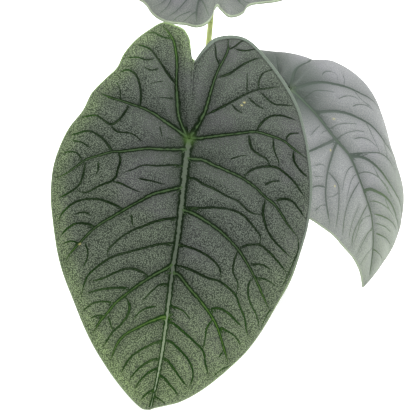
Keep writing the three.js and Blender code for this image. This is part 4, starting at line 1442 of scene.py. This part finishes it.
    def underside_joint(self) -> tuple[np.ndarray, np.ndarray]:
        """Where the stalk meets the finished blade, and the blade's normal there."""
        gap = np.linalg.norm(self.points - self.points[0], axis=1)
        normal = self.normals[gap < 4.0].mean(axis=0)
        normal /= np.linalg.norm(normal)
        return self.points[0] + normal * self.joint_level, normal


@dataclass
class Foliage:
    """The three blades. The front one has its own drawn veins, the right one too, and the back one,
    which the photograph hardly shows, carries the front one's."""

    plan: BladePlan = field(default_factory=BladePlan.drawn)

    def front(self) -> Blade:
        """The large dark blade that hangs in front, facing the camera."""
        midrib, right, left = (
            Curve(SIGHT.points(drawn)) for drawn in (FRONT_MIDRIB, FRONT_RIGHT_MARGIN, FRONT_LEFT_MARGIN)
        )
        facing = tuple(-SIGHT.axes[2])
        return Blade("leaf_blade_front", "blade_front", "dark_leaf", self.plan, midrib, (right, left), facing,
                     FRONT_ARCH, DARK_LEAF, flush_sides=(0.05, 0.8), painted_rim_shading_strength=1.0, joint_glow=0.8,
                     specks=FRONT_SPECKS, tip_flush=0.6, painted_shade=0.35)

    def right(self) -> Blade:
        """The blade that droops to the right behind the front one, with paler colours that paint its sheen, and painted
        shade near its joint and where the front blade keeps the light off.
        """
        midrib, far, near = (
            Curve(SIGHT.points(drawn)) for drawn in (RIGHT_MIDRIB, RIGHT_FAR_MARGIN, RIGHT_NEAR_MARGIN)
        )
        return Blade("leaf_blade_right", "blade_right", "pale_leaf", self.plan, midrib, (far, near), RIGHT_FACING,
                     RIGHT_ARCH, SHEEN_PAINTED_LEAF, specks=RIGHT_SPECKS, midrib_scale=0.42,
                     vein_scale=0.66, tip_flush=0.6, painted_shade=0.9, painted_shadow=(268.0, 70.0, 0.85))

    def back(self) -> Blade:
        """The blade that lies almost level behind, pointing away, with greyer colours that paint its sheen and a little
        painted shade near its joint.
        """
        joint = np.array(BACK_JOINT)
        margins = [
            Curve(np.vstack([SIGHT.points_at_height(lobe), np.array(rest) + joint]))
            for lobe, rest in ((BACK_LEFT_LOBE, BACK_LEFT_REST), (BACK_RIGHT_LOBE, BACK_RIGHT_REST))
        ]
        midrib = Curve(np.array(BACK_MIDRIB) + joint)
        return Blade("leaf_blade_back", "blade_back", "pale_leaf", self.plan, midrib, tuple(margins), (0.0, 0.0, 1.0),
                     BACK_ARCH, BACK_SHEEN_PAINTED_LEAF, midrib_scale=0.5, vein_scale=0.8, painted_shade=0.3)

    def build(self) -> dict[str, Blade]:
        """Builds and places the blades.

        Returns:
            The blades by the name of their place.
        """
        blades = {"front": self.front(), "right": self.right(), "back": self.back()}
        front_veins = blades["front"].trace(FRONT_VEINS)
        traced = {
            "front": front_veins,
            "right": blades["right"].trace(RIGHT_VEINS, run_on=True),
            "back": blades["back"].borrow(front_veins),
        }
        for place, blade in blades.items():
            install(blade.build(traced[place]), blade.slot, blade.node)
        return blades


# Stalks, rhizome, mix and pot


@dataclass
class Petiole:
    """A leaf stalk: a tube from the rhizome's crown that widens to a sheath at its base and meets
    the blade's underside square on, a little thicker there."""

    name: str
    node: str
    route: list[tuple[float, float, float]]
    joint: np.ndarray
    normal: np.ndarray
    material: bpy.types.Material
    fleck_height: float = 0.0
    approach: float = 14.0
    top_radius: float = 1.75
    base_radius: float = 3.5
    sides: int = 28
    rings: int = 150

    def build(self) -> bpy.types.Object:
        """Builds the stalk.

        The radius at share s is top + (base - top) (1 - s)^2.2, plus a swelling near the blade
        and, at the base, two low wings where the sheath's edges run up. Its end is a dome, which
        the blade's midrib takes in.

        Returns:
            The finished piece.
        """
        below = [self.joint - self.normal * drop for drop in (self.approach, 0.0)]
        path = Curve(np.vstack([self.route, below])).at(np.linspace(0.0, 1.0, self.rings))
        share = np.linspace(0.0, 1.0, self.rings)[:, None]
        angle = np.linspace(0.0, 2.0 * np.pi, self.sides, endpoint=False)[None]
        radius = self.top_radius + (self.base_radius - self.top_radius) * (1.0 - share) ** 2.2
        radius = radius + 0.35 * np.exp(-(((share - 0.94) / 0.05) ** 2))
        wings = np.exp(-(((np.abs(angle - np.pi) - 0.9) / 0.28) ** 2)) * np.exp(-share / 0.12)
        radius = radius * (1.0 + 0.22 * wings)
        radius = radius * np.sqrt(1.0 - 0.95 * smoothstep(0.975, 1.0, share) ** 2)
        points, faces = tube(path, radius, self.sides)
        piece = new_object(self.name, points, faces)
        travelled = np.concatenate([[0.0], np.cumsum(np.linalg.norm(np.diff(path, axis=0), axis=1))])
        around = np.repeat(travelled, self.sides)
        set_attribute(piece, "from_base", np.concatenate([around, travelled[[0, -1]]]))
        spot = np.zeros(len(points))
        if self.fleck_height > 0.0:
            front = points[:, 1] < np.interp(points[:, 2], path[:, 2], path[:, 1])
            spot = np.exp(-(((points[:, 2] - self.fleck_height) / 1.4) ** 2)) * front * 0.9
        set_attribute(piece, "fleck", spot)
        piece.data.materials.append(self.material)
        return install(piece, "stalk", self.node)


FRONT_STALK = [(-2, -3.8, 98), (-2.8, -9, 114), (-2, -26, 144), (-1, -54, 175)]
RIGHT_STALK = [(4.2, 0.5, 98), (8, -1.5, 114), (20, -10, 144), (38, -25, 177)]
BACK_STALK = [(-1.3, 4.4, 98), (-1, 9, 114), (3.5, 22, 144), (9.6, 42, 187)]


@dataclass
class Rhizome:
    """The short upright stem: a turned body stepped at old leaf scars, with roots below."""

    radius: float = 9.0
    foot: float = 62.0
    top: float = 111.0
    scar_count: int = 7
    scar_step: float = 0.7
    root_count: int = 5
    root_radius: float = 1.7
    root_path: tuple = ((3.4, 67.0), (4.6, 56.0), (6.3, 47.0), (5.2, 37.0))
    root_twist: float = 0.02

    def build(self) -> bpy.types.Object:
        """Builds the rhizome and its roots as one piece.

        The stem's radius follows the profile, less a saw-tooth of scar_step that drops at each
        scar, and is roughened by soft waves.

        Returns:
            The finished piece.
        """
        outline = Curve(np.array([
            (0.6, self.foot), (self.radius * 0.67, self.foot + 0.8), (self.radius, self.foot + 6),
            (self.radius, (self.foot + self.top) / 2), (self.radius, self.top - 8),
            (self.radius * 0.8, self.top - 3.5), (self.radius * 0.5, self.top - 0.8), (0.6, self.top),
        ]))
        profile = outline.at(np.linspace(0.0, 1.0, 110))
        turn = (profile[:, 1] - self.foot) / (self.top - 6 - self.foot) * self.scar_count
        phase = turn % 1.0
        profile[:, 0] = np.maximum(profile[:, 0] - self.scar_step * phase * (profile[:, 0] > 4), 0.4)
        profile = np.vstack([[0.0, self.foot], profile, [0.0, self.top]])
        points, faces = turned_solid(profile, 56)
        points[:-2] *= 1.0 + 0.012 * waves(points[:-2], 9.0, 5)[:, None] * np.array([1.0, 1.0, 0.0])
        scar = np.exp(-(((np.repeat(phase, 56) - 0.05) / 0.09) ** 2))
        parts = [(points, faces, np.concatenate([scar, [0.3, 0.3]]))]
        for index in range(self.root_count):
            parts.append(self.root(2.0 * np.pi * (index + 0.3) / self.root_count))
        piece = joined("rhizome_stem", parts, "scar")
        piece.data.materials.append(RhizomeFinish().material())
        return install(piece, "rhizome", "rhizome")

    def root(self, start: float) -> tuple[np.ndarray, list[np.ndarray], np.ndarray]:
        """One root: a tapered tube down from the stem.

        Args:
            start: its angle round the stem.

        Returns:
            Its vertices, faces and scar values.
        """
        radius, height = np.array(self.root_path).T
        angle = start + height * self.root_twist
        path = Curve(np.column_stack([radius * np.cos(angle), radius * np.sin(angle), height]))
        share = np.linspace(0.0, 1.0, 24)
        points, faces = tube(path.at(share), self.root_radius * (1.0 - 0.45 * share), 12)
        return points, faces, np.full(len(points), 0.1)


def joined(name: str, parts: list, attribute: str) -> bpy.types.Object:
    """Joins parts to one object and writes their values to an attribute.

    Args:
        name: the object's name.
        parts: for each part its vertices, its faces and one value per vertex.
        attribute: the attribute's name.

    Returns:
        The new object.
    """
    counts = np.cumsum([0] + [len(points) for points, _, _ in parts])
    faces = [face + first for (_, part, _), first in zip(parts, counts) for face in part]
    piece = new_object(name, np.vstack([points for points, _, _ in parts]), faces)
    set_attribute(piece, attribute, np.concatenate([values for _, _, values in parts]))
    return piece


def lumps(
    centres: np.ndarray,
    sizes: np.ndarray,
    roughness: float,
    seed: int,
) -> tuple[np.ndarray, list[np.ndarray]]:
    """Many small rounded lumps, each a ball of rings stretched, dented and turned at random.

    A lump's point is centre + turn @ (size * ball point * (1 + dent)), with dents drawn once for
    each point.

    Args:
        centres: middles of the lumps, one per row.
        sizes: their half sizes along their own axes, one row each.
        roughness: how deep the dents are, as a share of the size.
        seed: picks the dents and turns.

    Returns:
        The vertices and the faces.
    """
    draw = np.random.default_rng(seed)
    sides, rings = 7, 3
    lift = np.linspace(-0.72, 0.72, rings)[:, None]
    angle = np.linspace(0.0, 2.0 * np.pi, sides, endpoint=False)[None]
    flat = np.sqrt(1.0 - lift**2)
    ball = np.stack([flat * np.cos(angle), flat * np.sin(angle), lift + 0.0 * angle], axis=-1).reshape(-1, 3)
    ball = np.vstack([ball, [[0.0, 0.0, -1.0], [0.0, 0.0, 1.0]]])
    dents = 1.0 + roughness * draw.normal(size=(len(centres), len(ball), 1))
    shaped = ball * dents * sizes[:, None]
    spin, lean, way = draw.uniform(0.0, 2.0 * np.pi, (3, len(centres)))
    lean = 0.55 * np.sin(lean)
    zero, one = np.zeros_like(spin), np.ones_like(spin)
    turn_z = np.array([[np.cos(spin), -np.sin(spin), zero], [np.sin(spin), np.cos(spin), zero], [zero, zero, one]])
    turn_x = np.array([[one, zero, zero], [zero, np.cos(lean), -np.sin(lean)], [zero, np.sin(lean), np.cos(lean)]])
    turn_w = np.array([[np.cos(way), -np.sin(way), zero], [np.sin(way), np.cos(way), zero], [zero, zero, one]])
    turns = np.einsum("ijn,jkn,kln->nil", turn_w, turn_x, turn_z)
    points = centres[:, None] + np.einsum("nij,nkj->nki", turns, shaped)
    faces = [
        (part[None] + np.arange(len(centres))[:, None, None] * len(ball)).reshape(-1, part.shape[1])
        for part in grid_faces(rings, sides)
    ]
    return points.reshape(-1, 3), faces


@dataclass
class Bed:
    """The potting mix: a mounded, crumbly fill with bark chips and perlite lying on it."""

    top: float = 93.0
    mound: float = 2.5
    gap: float = 0.35
    hole_radius: float = 9.9
    hole_bottom: float = 34.0
    chip_count: int = 520
    grit_count: int = 900
    perlite_count: int = 170
    seed: int = 11

    def height(self, radius: np.ndarray, edge: float) -> np.ndarray:
        """Height of the mound at a radius: top + mound (1 - (r / edge)^2)."""
        return self.top + self.mound * (1.0 - (radius / edge) ** 2)

    def build(self, pot: "Pot") -> None:
        """Builds the fill, the chips and the perlite.

        Args:
            pot: the pot that holds the mix.
        """
        edge = pot.wall_radius(self.top) - pot.wall - self.gap
        self.fill(pot, edge)
        pieces = (
            ("bark_chips", self.chip_count, (2.2, 5.0), 0.42, 0.16, 9.0,
             GritFinish("composted_bark", "#2a1b10", "#7d5a3a", 2.5, 0.6)),
            ("compost_crumbs", self.grit_count, (0.9, 2.0), 0.75, 0.22, 10.5,
             GritFinish("compost_crumb", "#1d130c", "#4f3826", 1.2, 0.4)),
            ("perlite", self.perlite_count, (1.0, 2.1), 0.85, 0.12, 11.0,
             GritFinish("expanded_perlite", "#b9b4a8", "#efece4", 0.8, 0.3)),
        )
        for index, (name, count, spread, flatness, roughness, inner, finish) in enumerate(pieces):
            draw = np.random.default_rng(self.seed + index)
            half = draw.uniform(*spread, count)
            sizes = np.column_stack([half, half * draw.uniform(0.55, 0.9, count), half * flatness])
            reach = edge - half - 0.6
            radius = np.sqrt(draw.uniform((inner + half) ** 2, reach**2))
            angle = draw.uniform(0.0, 2.0 * np.pi, count)
            sit = self.height(radius, edge) + half * flatness * draw.uniform(-0.3, 0.7, count)
            centres = np.column_stack([radius * np.cos(angle), radius * np.sin(angle), sit])
            points, faces = lumps(centres, sizes, roughness, self.seed + 10 + index)
            piece = new_object(name, points, faces)
            set_attribute(piece, "shade", np.repeat(draw.uniform(0.05, 0.95, count), len(points) // count))
            piece.data.materials.append(finish.material())
            install(piece, "potting_mix")

    def fill(self, pot: "Pot", edge: float) -> None:
        """Builds the fill as a turned solid with a plain hole for the rhizome and a crumbly top.

        Args:
            pot: the pot that holds the mix.
            edge: radius of the mix at its top.
        """
        bottom = pot.floor_top + self.gap
        rings = np.linspace(edge - 0.3, self.hole_radius, 60)
        corner = pot.wall_radius(pot.floor_top + 2) - pot.wall - self.gap
        profile = np.vstack([
            [(0.0, bottom), (corner - 2.4, bottom), (corner - 0.2, bottom + 2.2)],
            [(edge - 0.3, self.top - 3.0)],
            np.column_stack([rings, self.height(rings, edge) - 0.8]),
            [(self.hole_radius, self.hole_bottom), (0.0, self.hole_bottom)],
        ])
        points, faces = turned_solid(profile, 240)
        radius = np.hypot(points[:, 0], points[:, 1])
        loose = smoothstep(0.0, 3.0, edge - 0.3 - radius) * smoothstep(self.hole_radius, self.hole_radius + 2.0, radius)
        loose = loose * (points[:, 2] > self.top - 2.0)
        crumble = waves(points, 9.0, 21) + 0.6 * waves(points, 3.5, 22)
        points[:, 2] += loose * crumble * 0.9
        piece = new_object("potting_mix_fill", points, faces)
        set_attribute(piece, "shade", 0.35 + 0.2 * waves(points, 6.0, 23))
        piece.data.materials.append(GritFinish("damp_compost", "#170f09", "#43301f", 1.6, 0.8).material())
        install(piece, "potting_mix", "potting_mix")


@dataclass
class Pot:
    """A moulded round grower's pot: tapered wall, stepped rim band, drained and notched foot."""

    rim_radius: float = 60.0
    height: float = 105.0
    base_radius: float = 44.5
    wall: float = 2.0
    band_height: float = 13.0
    band_step: float = 2.4
    lip_spread: float = 0.6
    floor_rise: float = 2.5
    disc_radius: float = 12.0
    foot_width: float = 8.5
    notch_count: int = 4
    notch_width: float = 9.0
    notch_height: float = 1.6
    drain_count: int = 6
    drain_radius: float = 4.0
    drain_ring: float = 25.0
    sides: int = 240

    @property
    def floor_top(self) -> float:
        """Height of the pot's inner floor."""
        return self.floor_rise + self.wall

    @property
    def wall_top(self) -> float:
        """Height where the rim band starts."""
        return self.height - self.band_height

    def wall_radius(self, height: float) -> float:
        """Outer radius of the tapered wall at a height."""
        top = self.rim_radius - self.band_step
        return self.base_radius + (top - self.base_radius) * height / self.wall_top

    def outline(self) -> np.ndarray:
        """The pot's section, from the middle of its underside round to the middle of its floor.

        Returns:
            Rows of radius and height.
        """
        inner = self.wall_radius(self.wall_top) - self.wall
        corner = self.wall_radius(self.floor_top + 2) - self.wall
        rim = self.rim_radius
        return rounded_profile([
            (0.0, 0.0, 0.0),
            (self.disc_radius, 0.0, 0.5),
            (self.disc_radius + 2, self.floor_rise, 0.5),
            (self.base_radius - self.foot_width - 1.5, self.floor_rise, 0.5),
            (self.base_radius - self.foot_width, 0.0, 0.5),
            (self.base_radius - 0.2, 0.0, 1.2),
            (self.wall_radius(self.wall_top), self.wall_top, 0.6),
            (rim - 0.2, self.wall_top + 0.6, 0.6),
            (rim + self.lip_spread, self.height, 0.9),
            (rim - self.wall, self.height, 0.9),
            (inner + 1.2, self.wall_top + 1.0, 0.6),
            (inner, self.wall_top - 1.0, 0.6),
            (corner, self.floor_top + 1.0, 1.0),
            (corner - 2.0, self.floor_top, 0.8),
            (0.0, self.floor_top, 0.0),
        ])

    def cutters(self) -> tuple[np.ndarray, list[np.ndarray]]:
        """Round drills for the drains and blocks for the notches of the foot.

        Returns:
            The cutters' vertices and faces, all in one.
        """
        parts = []
        for index in range(self.drain_count):
            angle = 2.0 * np.pi * (index + 0.5) / self.drain_count
            points, faces = turned_solid(np.array([(0, -2), (self.drain_radius, -2), (self.drain_radius, 9), (0, 9)]), 40)
            points += [self.drain_ring * np.cos(angle), self.drain_ring * np.sin(angle), 0.0]
            parts.append((points, faces))
        half = np.array([self.foot_width, self.notch_width / 2, self.notch_height])
        box = np.array([(x, y, z) for z in (-1, 1) for x, y in ((-1, -1), (1, -1), (1, 1), (-1, 1))]) * half
        sides = [(i, (i + 1) % 4, (i + 1) % 4 + 4, i + 4) for i in range(4)]
        box_faces = [np.array([(3, 2, 1, 0), (4, 5, 6, 7), *sides])]
        box = box + [self.base_radius - self.foot_width / 2, 0.0, 0.0]
        for index in range(self.notch_count):
            angle = 2.0 * np.pi * (index + 0.5) / self.notch_count
            turn = np.array([[np.cos(angle), np.sin(angle), 0], [-np.sin(angle), np.cos(angle), 0], [0, 0, 1]])
            parts.append((box @ turn, box_faces))
        counts = np.cumsum([0] + [len(points) for points, _ in parts])
        faces = [face + first for (_, part), first in zip(parts, counts) for face in part]
        return np.vstack([points for points, _ in parts]), faces

    def build(self) -> bpy.types.Object:
        """Builds the pot and cuts its drains and notches.

        Returns:
            The finished piece.
        """
        piece = new_object("growers_pot", *turned_solid(self.outline(), self.sides))
        cutter = new_object("pot_cutter", *self.cutters())
        cut = piece.modifiers.new("drains", "BOOLEAN")
        cut.operation = "DIFFERENCE"
        cut.solver = "EXACT"
        cut.object = cutter
        shaped = bpy.data.meshes.new_from_object(piece.evaluated_get(bpy.context.evaluated_depsgraph_get()))
        piece.modifiers.clear()
        piece.data = shaped
        bpy.data.objects.remove(cutter)
        shaped.shade_smooth()
        shaped.set_sharp_from_angle(angle=math.radians(38))
        piece.data.materials.clear()
        piece.data.materials.append(PotFinish().material())
        return install(piece, "pot", "pot")


def install(piece: bpy.types.Object, slot: str, *nodes: str) -> bpy.types.Object:
    """Fixes a piece to the plant's body and reports it.

    Args:
        piece: the finished piece.
        slot: the record's material slot; not used.
        nodes: the CAD nodes that it stands for.

    Returns:
        The same piece.
    """
    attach(piece, "root")
    if nodes:
        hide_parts(*nodes)
    LOG.info("%s: %d faces", piece.name, len(piece.data.polygons))
    return piece


# Surroundings


@dataclass(frozen=True)
class Studio:
    """A plain pale floor, soft light from above and the right, and the photograph's camera."""

    floor_half: float = 4000.0
    sky: float = 0.9
    key_power: float = 25.0
    key_size: float = 0.6
    key_place: tuple[float, float, float] = (0.22, -0.25, 1.1)
    key_aim: tuple[float, float, float] = (0.02, -0.06, 0.18)
    sensor_mm: float = 36.0
    image_pixels: float = 416.0

    def floor(self) -> None:
        """Lays the floor."""
        half = self.floor_half
        corners = np.array([(-half, -half, 0), (half, -half, 0), (half, half, 0), (-half, half, 0)], float)
        piece = new_object("floor", corners, [np.array([(0, 1, 2, 3)])])
        maker = MaterialMaker("back_lit_white_table", {
            "Roughness": 0.9,
            "Specular IOR Level": 0.1,
            "Emission Color": (1.0, 1.0, 1.0, 1.0),
            "Emission Strength": 0.45,
        })
        maker.feed("Base Color", maker.blend(maker.noise(60.0), "#fbfbfb", "#ffffff"))
        piece.data.materials.append(maker.material)

    def light(self) -> None:
        """Sets the white surroundings and one large soft lamp."""
        world = bpy.data.worlds.new("studio")
        world.use_nodes = True
        world.node_tree.nodes["Background"].inputs["Color"].default_value = (1.0, 1.0, 1.0, 1.0)
        world.node_tree.nodes["Background"].inputs["Strength"].default_value = self.sky
        bpy.context.scene.world = world
        bpy.context.scene.view_settings.view_transform = "Standard"
        data = bpy.data.lights.new("softbox", "AREA")
        data.energy = self.key_power
        data.size = self.key_size
        lamp = bpy.data.objects.new("softbox", data)
        lamp.location = self.key_place
        way = Vector(self.key_aim) - Vector(self.key_place)
        lamp.rotation_euler = way.to_track_quat("-Z", "Y").to_euler()
        bpy.context.scene.collection.objects.link(lamp)

    def camera(self) -> None:
        """Puts the camera where the photograph was taken from."""
        data = bpy.data.cameras.new("camera")
        data.sensor_width = self.sensor_mm
        data.sensor_fit = "HORIZONTAL"
        data.lens = self.sensor_mm * SIGHT.distance / (self.image_pixels * SIGHT.pixel)
        camera = bpy.data.objects.new("camera", data)
        camera.location = SIGHT.eye * MM
        camera.rotation_euler = (math.radians(90.0 - SIGHT.tilt_deg), 0.0, 0.0)
        bpy.context.scene.collection.objects.link(camera)
        bpy.context.scene.camera = camera

    def build(self) -> None:
        """Sets up the camera, the light and the floor."""
        self.camera()
        self.light()
        self.floor()


def main() -> None:
    """Builds the surroundings and the plant, piece by piece."""
    logging.basicConfig(level=logging.INFO, format="%(name)s %(message)s")
    Studio().build()
    blades = Foliage().build()
    skin = StalkFinish().material()
    routes = {"front": (FRONT_STALK, 0.0), "right": (RIGHT_STALK, 0.0), "back": (BACK_STALK, 211.0)}
    for place, (route, fleck) in routes.items():
        joint, normal = blades[place].underside_joint()
        Petiole(f"leaf_stalk_{place}", f"petiole_{place}", route, joint, normal, skin, fleck).build()
    Rhizome().build()
    pot = Pot()
    Bed().build(pot)
    pot.build()


if __name__ == "__main__":
    main()
